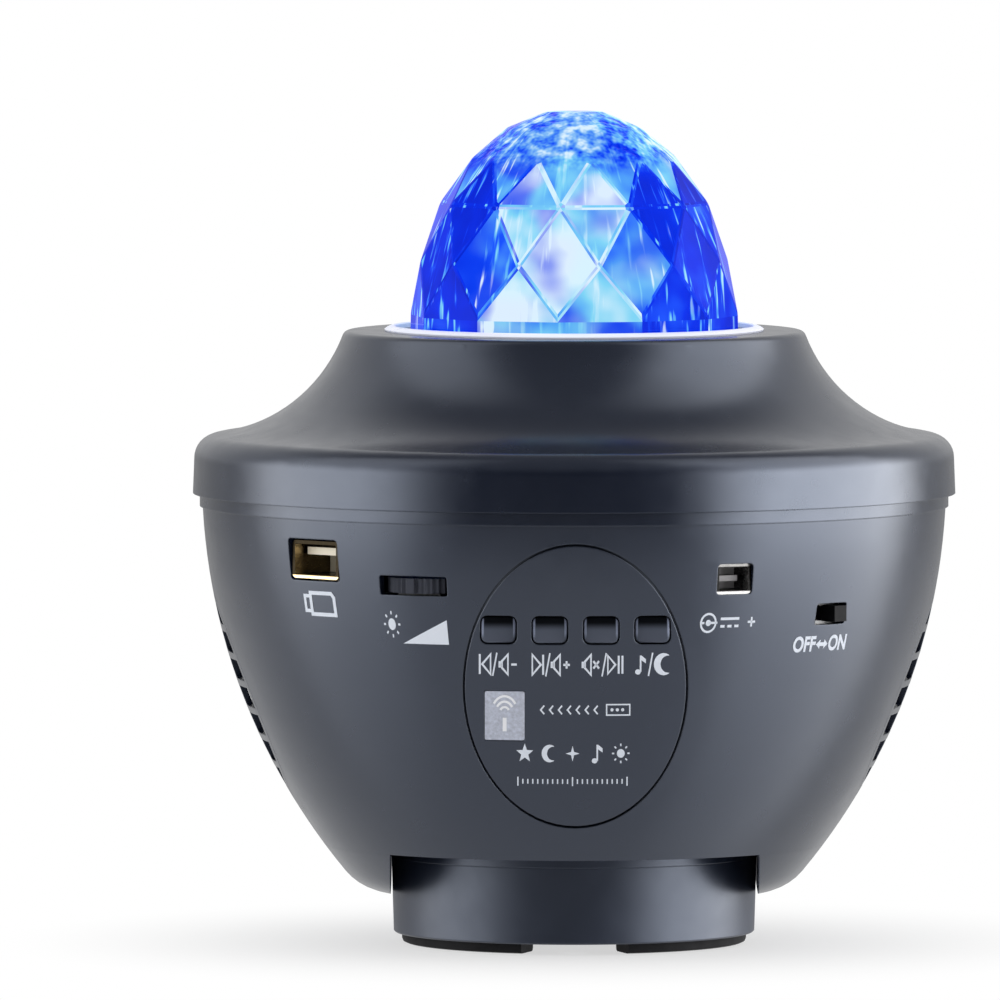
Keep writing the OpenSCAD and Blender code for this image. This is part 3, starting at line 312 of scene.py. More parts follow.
STREAKS_ROUND, STREAKS_UP = 17.0, 70.0
STREAK_SPAN, HUE_SPAN = (0.54, 0.68), (0.37, 0.53)
STREAK_TONES = (0.46, 0.10)
TOP_STREAKS, TOP_HUE = 0.4, 0.55
TONE_SHIFT, HUE_SHIFT = 37.0, 11.0      # these set the facets' patterns, and the hue's, apart


def dome_lobe(turn):
    """How much light the lamps send out at this turn round the dome, from 0 to 1."""
    wave = math.cos(DOME_LOBES * (turn - DOME_TURN))
    share = min(1.0, max(0.0, (wave + 0.42) / 1.15))
    return share * share * (3 - 2 * share)


def crystal_material():
    """Blue faceted plastic, lit from inside, with a hammered top.

    Each facet has a tone, which is its brightness and picks the part of the pattern that it shows.
    Streaks of light run down the facets between the lamps."""
    material, shader, tree = new_material("crystal")
    place = tree.place()
    parts = tree.parts(place)
    hammered = tree.mapped(parts["Z"], HAMMERED_FROM, HAMMERED_TO, smooth=True)
    tone = tree.add("ShaderNodeAttribute", attribute_name="tone").outputs["Fac"]
    shift = tree.math("MULTIPLY", tone, TONE_SHIFT)
    turn = tree.turn(parts)
    wave = tree.wave(turn, DOME_LOBES, DOME_TURN)

    light = tree.between(hammered, tone, tree.mapped(wave, -0.7, 0.9, *TOP_TONES, smooth=True))
    cloud = tree.noise(80, 2, 0.5, place, shift)
    cloud = tree.mapped(cloud, *NOISE_SPAN, -CLOUD_TONE, CLOUD_TONE)
    light = tree.math("ADD", light, cloud)
    upright = tree.add("ShaderNodeCombineXYZ", {"X": tree.math("MULTIPLY", turn, STREAKS_ROUND),
                                                "Y": tree.math("MULTIPLY", parts["Z"], STREAKS_UP)})
    streak = tree.noise(1.0, 2.5, 0.55, upright.outputs["Vector"], shift)
    streak = tree.math("MULTIPLY", tree.mapped(streak, *STREAK_SPAN, smooth=True),
                       tree.mapped(wave, -0.4, 0.5, *STREAK_TONES, smooth=True))
    streak = tree.math("MULTIPLY", streak, tree.between(hammered, 1.0, TOP_STREAKS))
    light = tree.math("ADD", light, streak)
    dimple = tree.noise(340, 2.0, 0.6, place)
    spots = tree.mapped(dimple, *NOISE_SPAN, -DIMPLE_TONE, DIMPLE_TONE)
    light = tree.math("ADD", light, tree.math("MULTIPLY", spots, hammered))

    hue = tree.noise(60, 1, 0.5, place, tree.math("ADD", shift, HUE_SHIFT))
    hue = tree.math("MAXIMUM", tree.mapped(hue, *HUE_SPAN, smooth=True),
                    tree.math("MULTIPLY", hammered, TOP_HUE))
    glow = tree.mix(hue, tree.ramp(light, VIOLET_GLOW), tree.ramp(light, CYAN_GLOW))
    tree.set(shader.inputs["Emission Color"], glow)
    relief = tree.math("MULTIPLY", dimple, hammered)
    tree.set(shader.inputs["Normal"], tree.bump(relief, DIMPLE_DEPTH))
    settle(shader, Base_Color=DOME_BLUE, Roughness=0.05, IOR=1.45, Transmission_Weight=0.03,
           Emission_Strength=0.93, Specular_IOR_Level=0.02, Specular_Tint=DOME_SHEEN)
    return material


# ---------------------------------------------------------------- materials by slot and by node

SLATE = (0.007, 0.010, 0.021)
# painted reflection: lighter than the shell's plastic, standing in for the light that the caps
# reflect
BUTTON_GREY = (0.075, 0.085, 0.115)
# painted light on the notch's cut walls, paler than the plastic
NOTCH_PAINTED_LIGHT = (0.16, 0.18, 0.22, 1)
SHEEN_TINT = (0.76, 0.84, 1.0, 1)
PLASTIC_GRAIN = (5200, 0.000004)
SHELL_ROUGH = 0.25
SHELL_EDGE = 0.00035
MOULDED = dict(spread=0.03, grain=PLASTIC_GRAIN, edge=SHELL_EDGE, joint=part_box("bowl_cheeks")[1].z,
               IOR=1.68, Specular_Tint=SHEEN_TINT)


def make_materials():
    """The material of each slot in the record, apart from those whose nodes all have their own."""
    return {
        "shell": surface("slate_shell", SLATE, SHELL_ROUGH, **MOULDED),
        "base_cover": surface("base_cover", (0.020, 0.024, 0.036), 0.5, grain=(2600, 0.00002)),
        "rubber": surface("rubber", (0.004, 0.004, 0.005), 0.75, mottle=0.2, grain=(1800, 0.00004),
                          Specular_IOR_Level=0.15),
        "screw_steel": brushed("zinc_plate", (0.55, 0.56, 0.58), 0.35, "Z"),
        "lens": lens_material(),
        "black_plastic": surface("black_plastic", (0.010, 0.010, 0.012), 0.42, grain=PLASTIC_GRAIN),
        "control_plastic": surface("control_plastic", (0.035, 0.037, 0.048), 0.55, edge=0.0002,
                                   grain=PLASTIC_GRAIN, Specular_IOR_Level=0.25,
                                   Specular_Tint=SHEEN_TINT),
        "gear_plastic": surface("acetal", (0.78, 0.78, 0.74), 0.38, mottle=0.02,
                                grain=(3000, 0.000004)),
        "plated_steel": brushed("bright_plate", (0.72, 0.72, 0.74), 0.2, "Z"),
        "tray_plastic": surface("tray", (0.60, 0.61, 0.63), 0.5, grain=(2600, 0.00001)),
        "sink": brushed("sink", (0.66, 0.67, 0.69), 0.35, "Z"),
        "board": board_material(),
        "chip": surface("chip", (0.80, 0.78, 0.60), 0.25, Emission_Color=(0.25, 0.45, 1, 1),
                        Emission_Strength=1.0),
        "brass": brushed("brass", (0.78, 0.56, 0.24), 0.25, "Z"),
        "grating": surface("grating", (0.45, 0.10, 0.12), 0.12),
        "window": surface("silver_print", (0.50, 0.53, 0.63), 0.5, mottle=0.55, drift=1300,
                          grain=(1500, 0.00002)),
        "basket": surface("basket", (0.012, 0.012, 0.014), 0.45, Metallic=0.3),
        "cone": surface("cone_paper", (0.018, 0.018, 0.021), 0.8, grain=(900, 0.00008)),
    }


# Shares of a cap's size: how high the painted shade starts and is full, how far from the middle the
# painted highlights at the sides start and are full, and how high they start to be
CAP_SHADE, CAP_SIDE, CAP_FOOT = (0.46, 0.74), (0.345, 0.365), (0.25, 0.4)
SHADED, HIGHLIGHT = 0.05, 3.2                # brightness of the painted shade and of the painted highlights, as a factor
LIT_GLOSS, SHADED_GLOSS = 0.5, 0.04


def button_material():
    """Soft grey caps: their grey a painted reflection, with painted highlights at their sides and
    painted shade along their tops.
    """
    material = surface("button_cap", BUTTON_GREY, 0.32, grain=PLASTIC_GRAIN, edge=0.0006, IOR=1.6,
                       Specular_Tint=SHEEN_TINT)
    shader, tree = opened(material)
    parts = tree.parts(tree.place("Generated"))
    # painted shade along the top of each cap
    shade = tree.mapped(parts["Z"], *CAP_SHADE, smooth=True)
    aside = tree.math("ABSOLUTE", tree.math("SUBTRACT", parts["X"], 0.5))
    # painted highlights along the sides of each cap
    side_highlight = tree.math("MULTIPLY", tree.mapped(aside, *CAP_SIDE), tree.mapped(parts["Z"], *CAP_FOOT))
    colour = tree.mix(shade, rgba(BUTTON_GREY), rgba(BUTTON_GREY, SHADED))
    tree.set(shader.inputs["Base Color"], tree.mix(side_highlight, colour, rgba(BUTTON_GREY, HIGHLIGHT)))
    tree.set(shader.inputs["Specular IOR Level"], tree.between(shade, LIT_GLOSS, SHADED_GLOSS))
    return material


LIP, LIP_FADE = 0.0005, 0.0002          # the cut edge's width, and how soon its painted highlight ends
# painted shade: how dark the cut edges at the mouth are made, apart from its lips
EDGE_SHADE = 0.02
LIP_FACING = (0.6, 0.8)                 # a face whose normal points out by this much is a cut edge
DEEP, SHALLOW = 0.003, 0.0004           # behind the mouth
# painted shade: the plate's brightness deep behind the mouth and just behind it
DEEP_SHADE, SHALLOW_SHADE = 0.12, 0.7


def socket_material(name, node, colour, lips):
    """Plate with painted shade that makes it darker inside, and painted dark cut edges at the mouth.

    lips gives the painted brightness of the mouth's lower and upper edge: painted highlight and
    painted shade."""
    material = brushed(name, colour, 0.3, "X")
    shader, tree = opened(material)
    low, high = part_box(node)
    middle = ((low + high) / 2).to_2d().normalized()
    out = (middle.x, middle.y, 0)
    facing = tree.mapped(tree.along(tree.place("Normal"), out), *LIP_FACING)
    mouth = max(v.co.to_2d().dot(middle) for v in NODES[node].data.vertices)
    height = tree.parts(tree.place())["Z"]
    lower, upper = lips
    # painted light and shade on the mouth's lower and upper edge, and painted shade on its other cut
    # edges
    lip = tree.math("MAXIMUM",
                    tree.mapped(height, low.z + LIP, low.z + LIP + LIP_FADE, lower, EDGE_SHADE),
                    tree.mapped(height, high.z - LIP - LIP_FADE, high.z - LIP, EDGE_SHADE, upper))
    # painted shade, darker the deeper behind the mouth
    depth = tree.mapped(tree.along(tree.place(), out), mouth - DEEP, mouth - SHALLOW, DEEP_SHADE,
                        SHALLOW_SHADE, smooth=True)
    share = tree.between(facing, depth, lip)
    tree.set(shader.inputs["Base Color"], tree.mix(share, BLACK, rgba(colour)))
    return material


NOTCH_FACING = (0.98, 0.99)             # the notch's walls face sideways by this much
NOTCH_END = (0.0403, 0.0405)            # and stand nearer the middle than this
NOTCH_ROUGH = 0.6


def cheek_material():
    """The shell's plastic, matt, and painted paler on the cut walls of the notch: painted light that
    the drum mirrors beside them.
    """
    material = surface("cheek_shell", SLATE, SHELL_ROUGH, **MOULDED)
    shader, tree = opened(material)
    sideways = tree.math("ABSOLUTE", tree.parts(tree.place("Normal"))["X"])
    aside = tree.math("ABSOLUTE", tree.parts(tree.place())["X"])
    cut = tree.math("MULTIPLY", tree.mapped(sideways, *NOTCH_FACING),
                    tree.mapped(aside, *NOTCH_END, 1.0, 0.0))
    # painted light: the cut walls are made paler than the shell's plastic
    tree.set(shader.inputs["Base Color"], tree.mix(cut, rgba(SLATE), NOTCH_PAINTED_LIGHT))
    tree.set(shader.inputs["Roughness"], tree.between(cut, SHELL_ROUGH, NOTCH_ROUGH))
    return material


def node_materials():
    """Materials of single nodes, which look unlike the rest of their slot."""
    button = button_material()
    own = {f"button_{i}": button for i in range(1, 5)}
    # the lips' numbers are painted light and shade on the mouths' edges
    own["usb_shell"] = socket_material("gold_mouth", "usb_shell", (0.80, 0.60, 0.32), (1.0, EDGE_SHADE))
    own["dc_shell"] = socket_material("steel_mouth", "dc_shell", (0.56, 0.55, 0.54), (0.55, 0.28))
    own["usb_insulator"] = surface("usb_tongue", (0.92, 0.86, 0.70), 0.35, mottle=0.04,
                                   grain=PLASTIC_GRAIN)
    own["dc_insulator"] = surface("dc_tongue", (0.34, 0.33, 0.34), 0.4, grain=PLASTIC_GRAIN)
    own["bowl_cheeks"] = cheek_material()
    own["switch_lever"] = surface("switch_cap", (0.004, 0.004, 0.005), 0.5, grain=PLASTIC_GRAIN,
                                  Specular_IOR_Level=0.08)
    # painted shade: the switch's plate is made dark, as it lies in shade behind the lever
    own["switch_body"] = brushed("switch_plate", (0.20, 0.20, 0.20), 0.4, "Z")
    own["base_drum"] = surface("drum_shell", SLATE, 0.40, spread=0.04, grain=PLASTIC_GRAIN,
                               edge=SHELL_EDGE, IOR=1.62, Specular_Tint=SHEEN_TINT)
    return own


# ---------------------------------------------------------------- stage

FILL = 0.6                  # the world's light on everything, apart from reflections
# How bright the studio looks in a reflection, by the height of the direction (-1 down to 1 up)
FRONT_LEVELS = [(-1, 0.85), (-0.30, 0.98), (-0.10, 0.06), (0.30, 0.03), (0.70, 0.26), (1, 0.26)]
BACK_LEVELS = [(-1, 0.9), (-0.25, 0.85), (-0.05, 0.42), (0.10, 0.75), (0.60, 0.95), (0.86, 0.26),
               (1, 0.26)]
BOX_LEVELS = [(-1, 0.12), (-0.78, 0.20), (-0.40, 0.36), (-0.20, 0.55), (-0.05, 1), (0.12, 1),
              (0.45, 0.46), (0.80, 0.36), (0.93, 0.18), (1, 0.04)]
BACK_SPAN, SIDE_SPAN = (-0.6, 0.2), (-0.1, 0.1)     # where front turns to back, and left to right
BOX_LEFT, BOX_RIGHT = 4.6, 7.4
BOX_EDGES = [
    # turns from the front, in degrees, between which the edge fades, the levels there, and how
    # much nearer the front the right box's edge lies
    (34, 70, 0.0, 1.0, 5),
    (98, 126, 1.0, 0.0, -9),
]
FLOOR_HALF, FLOOR_DROP = 20, 0.0002
FLOOR_GREY = (0.92, 0.92, 0.92, 1)
SHADOW_CORE, SHADOW_REACH = 0.04, 0.13
CORE_WHITE = 0.6            # how much of the floor is plain white in the shadow's core


def levels(tree, height, stops):
    """A level that follows the height of the direction."""
    return tree.ramp(tree.mapped(height, -1.0, 1.0), [((z + 1) / 2, (v, v, v)) for z, v in stops])


def make_world():
    """White to the eye and through glass. Reflections see a studio: dim where the photographer
    stands, pale behind the object, with a tall soft box at each side."""
    world = bpy.data.worlds.new("studio")
    world.use_nodes = True
    bpy.context.scene.world = world
    tree = Tree(world.node_tree)
    world.node_tree.nodes.clear()
    parts = tree.parts(tree.place("Generated"))
    behind = tree.mapped(parts["Y"], *BACK_SPAN, smooth=True)
    room = tree.between(behind, levels(tree, parts["Z"], FRONT_LEVELS),
                        levels(tree, parts["Z"], BACK_LEVELS))
    turn = tree.math("ARCTAN2", tree.math("ABSOLUTE", parts["X"]),
                     tree.math("MULTIPLY", parts["Y"], -1.0))
    right = tree.mapped(parts["X"], *SIDE_SPAN)
    box = tree.math("MULTIPLY", levels(tree, parts["Z"], BOX_LEVELS),
                    tree.between(right, BOX_LEFT, BOX_RIGHT))
    for start, end, level_before, level_after, nearer in BOX_EDGES:
        moved = tree.math("MULTIPLY_ADD", right, math.radians(nearer), turn)
        edge = tree.mapped(moved, math.radians(start), math.radians(end), level_before,
                           level_after, smooth=True)
        box = tree.math("MULTIPLY", box, edge)
    studio = tree.math("MAXIMUM", room, box)
    paths = tree.add("ShaderNodeLightPath").outputs
    strength = tree.between(paths["Is Glossy Ray"], FILL, studio)
    white = tree.math("MAXIMUM", paths["Is Camera Ray"], paths["Is Transmission Ray"])
    strength = tree.between(white, strength, 1.0)
    shade = tree.add("ShaderNodeBackground", {"Color": WHITE, "Strength": strength})
    output = tree.add("ShaderNodeOutputWorld")
    tree.set(output.inputs["Surface"], shade.outputs["Background"])


def make_floor():
    """A pale floor that takes the shadow near the object and fades into the white background."""
    bm = bmesh.new()
    bmesh.ops.create_grid(bm, x_segments=4, y_segments=4, size=FLOOR_HALF)
    floor = add_object("floor", mesh_from(bm, "floor"))
    floor.location.z = -FLOOR_DROP
    material = bpy.data.materials.new("floor")
    material.use_nodes = True
    tree = Tree(material.node_tree)
    material.node_tree.nodes.clear()
    far = tree.add("ShaderNodeVectorMath", {0: tree.place()}, operation="LENGTH").outputs["Value"]
    glow = tree.mapped(far, SHADOW_CORE, SHADOW_REACH, CORE_WHITE, 1.0, smooth=True)
    paths = tree.add("ShaderNodeLightPath").outputs
    seen = tree.math("MAXIMUM", paths["Is Camera Ray"], paths["Is Transmission Ray"])
    lit = tree.add("ShaderNodeBsdfDiffuse", {"Color": FLOOR_GREY}).outputs["BSDF"]
    white = tree.add("ShaderNodeEmission", {"Color": WHITE}).outputs["Emission"]
    both = tree.add("ShaderNodeMixShader", {0: tree.math("MULTIPLY", glow, seen), 1: lit, 2: white})
    unseen = tree.add("ShaderNodeBsdfTransparent").outputs["BSDF"]
    mirrored = tree.add("ShaderNodeMixShader", {0: paths["Is Glossy Ray"],
                                                1: both.outputs["Shader"], 2: unseen})
    output = tree.add("ShaderNodeOutputMaterial")
    tree.set(output.inputs["Surface"], mirrored.outputs["Shader"])
    floor.data.materials.append(material)


LAMP_AIM = Vector((0, 0, 0.08))
LAMPS = [
    # name, direction from the front in degrees, distance, height, size, watts
    ("left_box", -80, 1.2, 0.60, 0.9, 3),
    ("right_box", 80, 1.2, 0.60, 0.9, 5),
    ("top_box", 180, 0.15, 2.0, 2.5, 8),
]


def make_lamps():
    for name, turn, distance, height, size, watts in LAMPS:
        lamp = add_object(name, bpy.data.lights.new(name, "AREA"))
        lamp.data.size, lamp.data.energy = size, watts
        lamp.visible_glossy = False
        angle = math.radians(turn)
        lamp.location = (distance * math.sin(angle), -distance * math.cos(angle), height)
        look_along(lamp, LAMP_AIM - lamp.location)


# ---------------------------------------------------------------- dressing the CAD nodes

SMOOTH_ANGLE = math.radians(32)
WELD = 0.000002


def make_smoother():
    """Geometry nodes that join the CAD faces and keep only true edges sharp."""
    group = bpy.data.node_groups.new("join_and_smooth", "GeometryNodeTree")
    for way in ("INPUT", "OUTPUT"):
        group.interface.new_socket("Geometry", in_out=way, socket_type="NodeSocketGeometry")
    tree = Tree(group)
    start = tree.add("NodeGroupInput")
    joined = tree.add("GeometryNodeMergeByDistance",
                      {"Geometry": start.outputs[0], "Distance": WELD})
    faces = tree.add("GeometryNodeSetShadeSmooth",
                     {"Geometry": joined.outputs[0], "Shade Smooth": True})
    angle = tree.add("GeometryNodeInputMeshEdgeAngle").outputs["Unsigned Angle"]
    soft = tree.add("FunctionNodeCompare", {0: angle, 1: SMOOTH_ANGLE}, data_type="FLOAT",
                    operation="LESS_THAN")
    edges = tree.add("GeometryNodeSetShadeSmooth",
                     {"Geometry": faces.outputs[0], "Shade Smooth": soft.outputs["Result"]},
                     domain="EDGE")
    end = tree.add("NodeGroupOutput")
    tree.set(end.inputs[0], edges.outputs[0])
    return group


def dress(by_slot, by_node):
    """Gives every CAD node its material and smooth shading, apart from the dome."""
    smoother = make_smoother()
    for part in frame["record"]["subparts"]:
        material = by_node.get(part["node"]) or by_slot.get(part["material_slot"])
        if material is None:
            continue
        node = NODES[part["node"]]
        node.data.materials.clear()
        node.data.materials.append(material)
        node.modifiers.new("smooth", "NODES").node_group = smoother
        node.modifiers.new("normals", "WEIGHTED_NORMAL").keep_sharp = True


# ---------------------------------------------------------------- dome

RIDGE_WIDTH = 0.0011
FLAT_ANGLE, RIDGE_ANGLE = math.radians(0.5), math.radians(4)
FOOT_BAND = 0.003
HAMMERED_TONE = 0.5
# A facet's tone: the least, what the lamps add to it, and the range of its random part
RIDGE_TONE = (0.10, 0.34, 0.0, 0.42)
FOOT_TONE = (0.06, 0.30, 0.0, 0.25)
KITE_TONE = (0.16, 0.50, -0.08, 0.12)


def delete_inside(bm, foot):
    """Deletes the dome's inner wall and its flange, which the cover hides."""
    inside = []
    for face in bm.faces:
        middle = face.calc_center_median()
        outward = Vector((middle.x, middle.y, max(0.0, middle.z - foot)))
        if face.normal.dot(outward) < 0 or (abs(face.normal.z) > 0.9 and middle.z < foot):
            inside.append(face)
    bmesh.ops.delete(bm, geom=inside, context="FACES")


def facet_tone(middle, is_ridge, foot):
    """The brightness of a facet of the dome, which follows the lamps and differs a little."""
    if middle.z > HAMMERED_FROM:
        return HAMMERED_TONE
    in_foot = middle.z < foot + FOOT_BAND
    least, lamps, low, high = RIDGE_TONE if is_ridge else FOOT_TONE if in_foot else KITE_TONE
    lobe = dome_lobe(math.atan2(middle.y, middle.x))
    return least + lamps * lobe + RNG.uniform(low, high)


def make_dome():
    """The dome's facets, with their edges eased so that they catch the light from inside."""
    bm = bmesh.new()
    bm.from_mesh(NODES["dome"].data)
    bmesh.ops.remove_doubles(bm, verts=bm.verts, dist=WELD)
    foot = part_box("top_cover")[1].z
    delete_inside(bm, foot)
    bmesh.ops.dissolve_limit(bm, angle_limit=FLAT_ANGLE, verts=bm.verts, edges=bm.edges)
    ridges = [e for e in bm.edges if len(e.link_faces) == 2 and e.calc_face_angle() > RIDGE_ANGLE
              and min(v.co.z for v in e.verts) > foot - MM
              and max(v.co.z for v in e.verts) < HAMMERED_TO]
    made = bmesh.ops.bevel(bm, geom=ridges, offset=RIDGE_WIDTH / 2, segments=2, affect="EDGES",
                           profile=0.5)
    bevels = set(made["faces"])
    tone = bm.faces.layers.float.new("tone")
    for face in bm.faces:
        middle = face.calc_center_median()
        face[tone] = facet_tone(middle, face in bevels, foot)
        face.smooth = middle.z > HAMMERED_TO
    dome = add_object("crystal_dome", mesh_from(bm, "crystal_dome"))
    dome.data.materials.append(crystal_material())
    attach(dome, "housing")
    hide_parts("dome")
    return dome


# ---------------------------------------------------------------- rings

RING_STEPS = 180
RING_GAP, RING_WIDTH, RING_HEIGHT = 0.0001, 0.0021, 0.0011
COLLAR_WALL, COLLAR_STEP, COLLAR_EASE = 0.003, 0.0007, 0.0003
COLLAR_PROUD, COLLAR_SEAT = 0.00002, 0.00008


def turned_ring(name, profile, material):
    """A ring turned from a closed profile of (radius, height), part of the housing."""
    bm = bmesh.new()
    loops = []
    for i in range(RING_STEPS):
        turn = 2 * math.pi * i / RING_STEPS
        loops.append([bm.verts.new((r * math.cos(turn), r * math.sin(turn), z))
                      for r, z in profile])
    for i, here in enumerate(loops):
        after = loops[(i + 1) % RING_STEPS]
        for k in range(len(profile)):
            j = (k + 1) % len(profile)
            bm.faces.new((here[k], after[k], after[j], here[j])).smooth = True
    bmesh.ops.recalc_face_normals(bm, faces=bm.faces)
    for edge in bm.edges:
        edge.smooth = edge.calc_face_angle() < SMOOTH_ANGLE
    ring = add_object(name, mesh_from(bm, name))
    ring.data.materials.append(material)
    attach(ring, "housing")


def make_drum_collar():
    """The top of the drum's wall, which closes the joint between the drum and the bowl."""
    drum = NODES["base_drum"].data
    points = [v.co for v in drum.vertices]
    outer = max(p.to_2d().length for p in points) + COLLAR_PROUD
    edge = max(p.z for p in points if p.to_2d().length > outer - 0.1 * MM)
    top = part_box("bowl_cheeks")[1].z - 0.1 * MM
    profile = [(outer - COLLAR_WALL, top), (outer - COLLAR_WALL, edge + COLLAR_STEP),
               (outer - COLLAR_STEP, edge + COLLAR_STEP), (outer - COLLAR_SEAT, edge),
               (outer, edge), (outer, top - COLLAR_EASE), (outer - COLLAR_EASE, top)]
    turned_ring("drum_collar", profile, drum.materials[0])


def make_dome_ring(dome):
    """The pale seal between the dome's foot and the flat top of the cover, with a painted glow of
    the dome's light.
    """
    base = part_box("top_cover")[1].z
    foot = [v.co.to_2d().length for v in dome.data.vertices if abs(v.co.z - base) < 4 * MM]
    inner = max(foot) + RING_GAP
    outer = inner + RING_WIDTH
    outline = [(inner, 0), (outer, 0), (outer + 0.0002, 0.3), (outer - 0.0004, 0.7),
               (outer - 0.0012, 1), (inner + 0.0002, 1), (inner, 0.8)]
    # painted glow: the seal gives off a faint blue light, though it is no lamp
    seal = surface("seal_painted_glow", (0.86, 0.87, 0.93), 0.3, mottle=0.06, grain=(900, 0.00003),
                   Emission_Color=(0.75, 0.80, 1, 1), Emission_Strength=0.22)
    turned_ring("dome_ring", [(r, base + share * RING_HEIGHT) for r, share in outline], seal)


# ---------------------------------------------------------------- putting a print on a wall

INK = surface("ink", (0.78, 0.83, 0.92), 0.5, mottle=0.04, grain=(3200, 0.000008))
PALE_INK = surface("pale_ink", (0.92, 0.93, 0.97), 0.45, mottle=0.03)
LIFT = 0.00006
LONGEST, SPLITS = 0.0009, 6
CAST_FROM = 0.2


def wall_of(name):
    """A ray-cast tree over the faces of a node."""
    mesh = NODES[name].data
    return BVHTree.FromPolygons([v.co.copy() for v in mesh.vertices],
                                [list(p.vertices) for p in mesh.polygons])


def ink(name, shapes, wall, turn, height, across=0.0, material=INK):
    """Prints flat shapes, in millimetres, on the wall, a little in front of it.

    turn is the direction they face in degrees, and height and across place their centre, in
    millimetres. They are cast straight back onto the wall."""
    out = Vector((math.sin(math.radians(turn)), -math.cos(math.radians(turn)), 0))
    right = Vector((math.cos(math.radians(turn)), math.sin(math.radians(turn)), 0))
    bm = bmesh.new()
    for shape in shapes:
        bm.faces.new([bm.verts.new(right * ((x + across) * MM) + Vector((0, 0, (y + height) * MM)))
                      for x, y in shape])
    bmesh.ops.remove_doubles(bm, verts=bm.verts, dist=0.001 * MM)
    bmesh.ops.triangulate(bm, faces=bm.faces)
    for _ in range(SPLITS):
        long = [e for e in bm.edges if e.calc_length() > LONGEST]
        if not long:
            break
        bmesh.ops.subdivide_edges(bm, edges=long, cuts=1)
        bmesh.ops.triangulate(bm, faces=bm.faces)
    for vert in bm.verts:
        hit, normal, _, _ = wall.ray_cast(vert.co + out * CAST_FROM, -out)
        vert.co = hit + (normal if normal.dot(out) > 0 else -normal) * LIFT
    bmesh.ops.recalc_face_normals(bm, faces=bm.faces)
    bmesh.ops.reverse_faces(bm, faces=[f for f in bm.faces if f.normal.dot(out) < 0])
    for face in bm.faces:
        face.smooth = True
    piece = add_object(name, mesh_from(bm, name))
    piece.data.materials.append(material)
    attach(piece, "housing")


# ---------------------------------------------------------------- drawing, in millimetres

LINE = 0.42


def stroke(points, width, closed=False):
    """Quads along a line of points, in the plane, with mitred corners."""
    n = len(points)
    left, right = [], []
    for i, (x, y) in enumerate(points):
        pairs = [(points[i - 1], (x, y))] if i > 0 or closed else []
        pairs += [((x, y), points[(i + 1) % n])] if i < n - 1 or closed else []
        ways = [Vector((b[0] - a[0], b[1] - a[1])).normalized() for a, b in pairs]
        way = sum(ways, Vector((0, 0))).normalized()
        side = Vector((-way.y, way.x))
        stretch = 1 / max(0.5, side.dot(Vector((-ways[0].y, ways[0].x))))
        offset = side * (width / 2 * stretch)
        left.append((x + offset.x, y + offset.y))
        right.append((x - offset.x, y - offset.y))
    last = n if closed else n - 1
    return [[right[i], right[(i + 1) % n], left[(i + 1) % n], left[i]] for i in range(last)]


def box(low_x, low_y, high_x, high_y):
    return [[(low_x, low_y), (high_x, low_y), (high_x, high_y), (low_x, high_y)]]


def bar(x, half=1.9, width=LINE):
    return box(x - width / 2, -half, x + width / 2, half)


def dash(x, half, y=0.0, width=LINE):
    return box(x - half, y - width / 2, x + half, y + width / 2)


def slash(x):
    return stroke([(x - 0.45, -2.2), (x + 0.45, 2.2)], 0.32)


def arc(x, y, r, start, end, steps=10, ry=None):
    turns = [math.radians(start + (end - start) * i / steps) for i in range(steps + 1)]
    return [(x + r * math.cos(t), y + (ry or r) * math.sin(t)) for t in turns]


def disc(x, y, r, ry=None, steps=20):
    return [arc(x, y, r, 0, 360 - 360 / steps, steps - 1, ry)]


def shifted(shapes, dx, dy=0.0, factor=1.0, tall=1.0):
    return [[(x * factor + dx, y * factor * tall + dy) for x, y in shape] for shape in shapes]


def scaled(shapes, factor, tall=1.0):
    return shifted(shapes, 0, 0, factor, tall)


def letters(text, height, wide):
    """The outlines of plain letters, filled, centred on the origin."""
    curve = bpy.data.curves.new("letters", "FONT")
    curve.body = text
    curve.align_x, curve.align_y = "CENTER", "CENTER"
    curve.size, curve.offset = height * 1.4, height * 0.05
    item = add_object("letters", curve)
    bpy.context.view_layer.update()
    mesh = item.evaluated_get(bpy.context.evaluated_depsgraph_get()).to_mesh()
    points = [(v.co.x * wide, v.co.y) for v in mesh.vertices]
    shapes = [[points[i] for i in p.vertices] for p in mesh.polygons]
    bpy.data.objects.remove(item)
    bpy.data.curves.remove(curve)
    return shapes


def star(x, y, r, points=5, inner=0.42):
    turns = [math.radians(90 + 180 * i / points) for i in range(2 * points)]
    reach = [r * (1, inner)[i % 2] for i in range(2 * points)]
    corners = [(x + k * math.cos(t), y + k * math.sin(t)) for k, t in zip(reach, turns)]
    return [[(x, y), corners[i - 1], corners[i]] for i in range(2 * points)]


def point_along(points, share):
    """The point this share of the way along a line of points."""
    k = min(int(share * (len(points) - 1)), len(points) - 2)
    rest = share * (len(points) - 1) - k
    return tuple(a + (b - a) * rest for a, b in zip(points[k], points[k + 1]))


def moon(x, y, r):
    outer = arc(x, y, r, 60, 300, 16)
    hollow = arc(x + 0.45 * r, y, 0.78 * r, 280, 80, 12)
    last = len(outer) - 1
    inner = [point_along(hollow, 1 - i / last) for i in range(last + 1)]
    return [[outer[i], outer[i + 1], inner[i + 1], inner[i]] for i in range(last)]


def note(x, y):
    head, stem = disc(-0.5, -1.4, 0.6, 0.5), box(-0.1, -1.4, 0.25, 1.7)
    flag = [[(0.25, 1.7), (0.25, 0.8), (1.2, 0.2), (1.2, 1.0)]]
    return shifted(head + stem + flag, x, y)


def play(way=1):
    return stroke([(-0.9 * way, 1.9), (0.9 * way, 0), (-0.9 * way, -1.9)], LINE, closed=True)


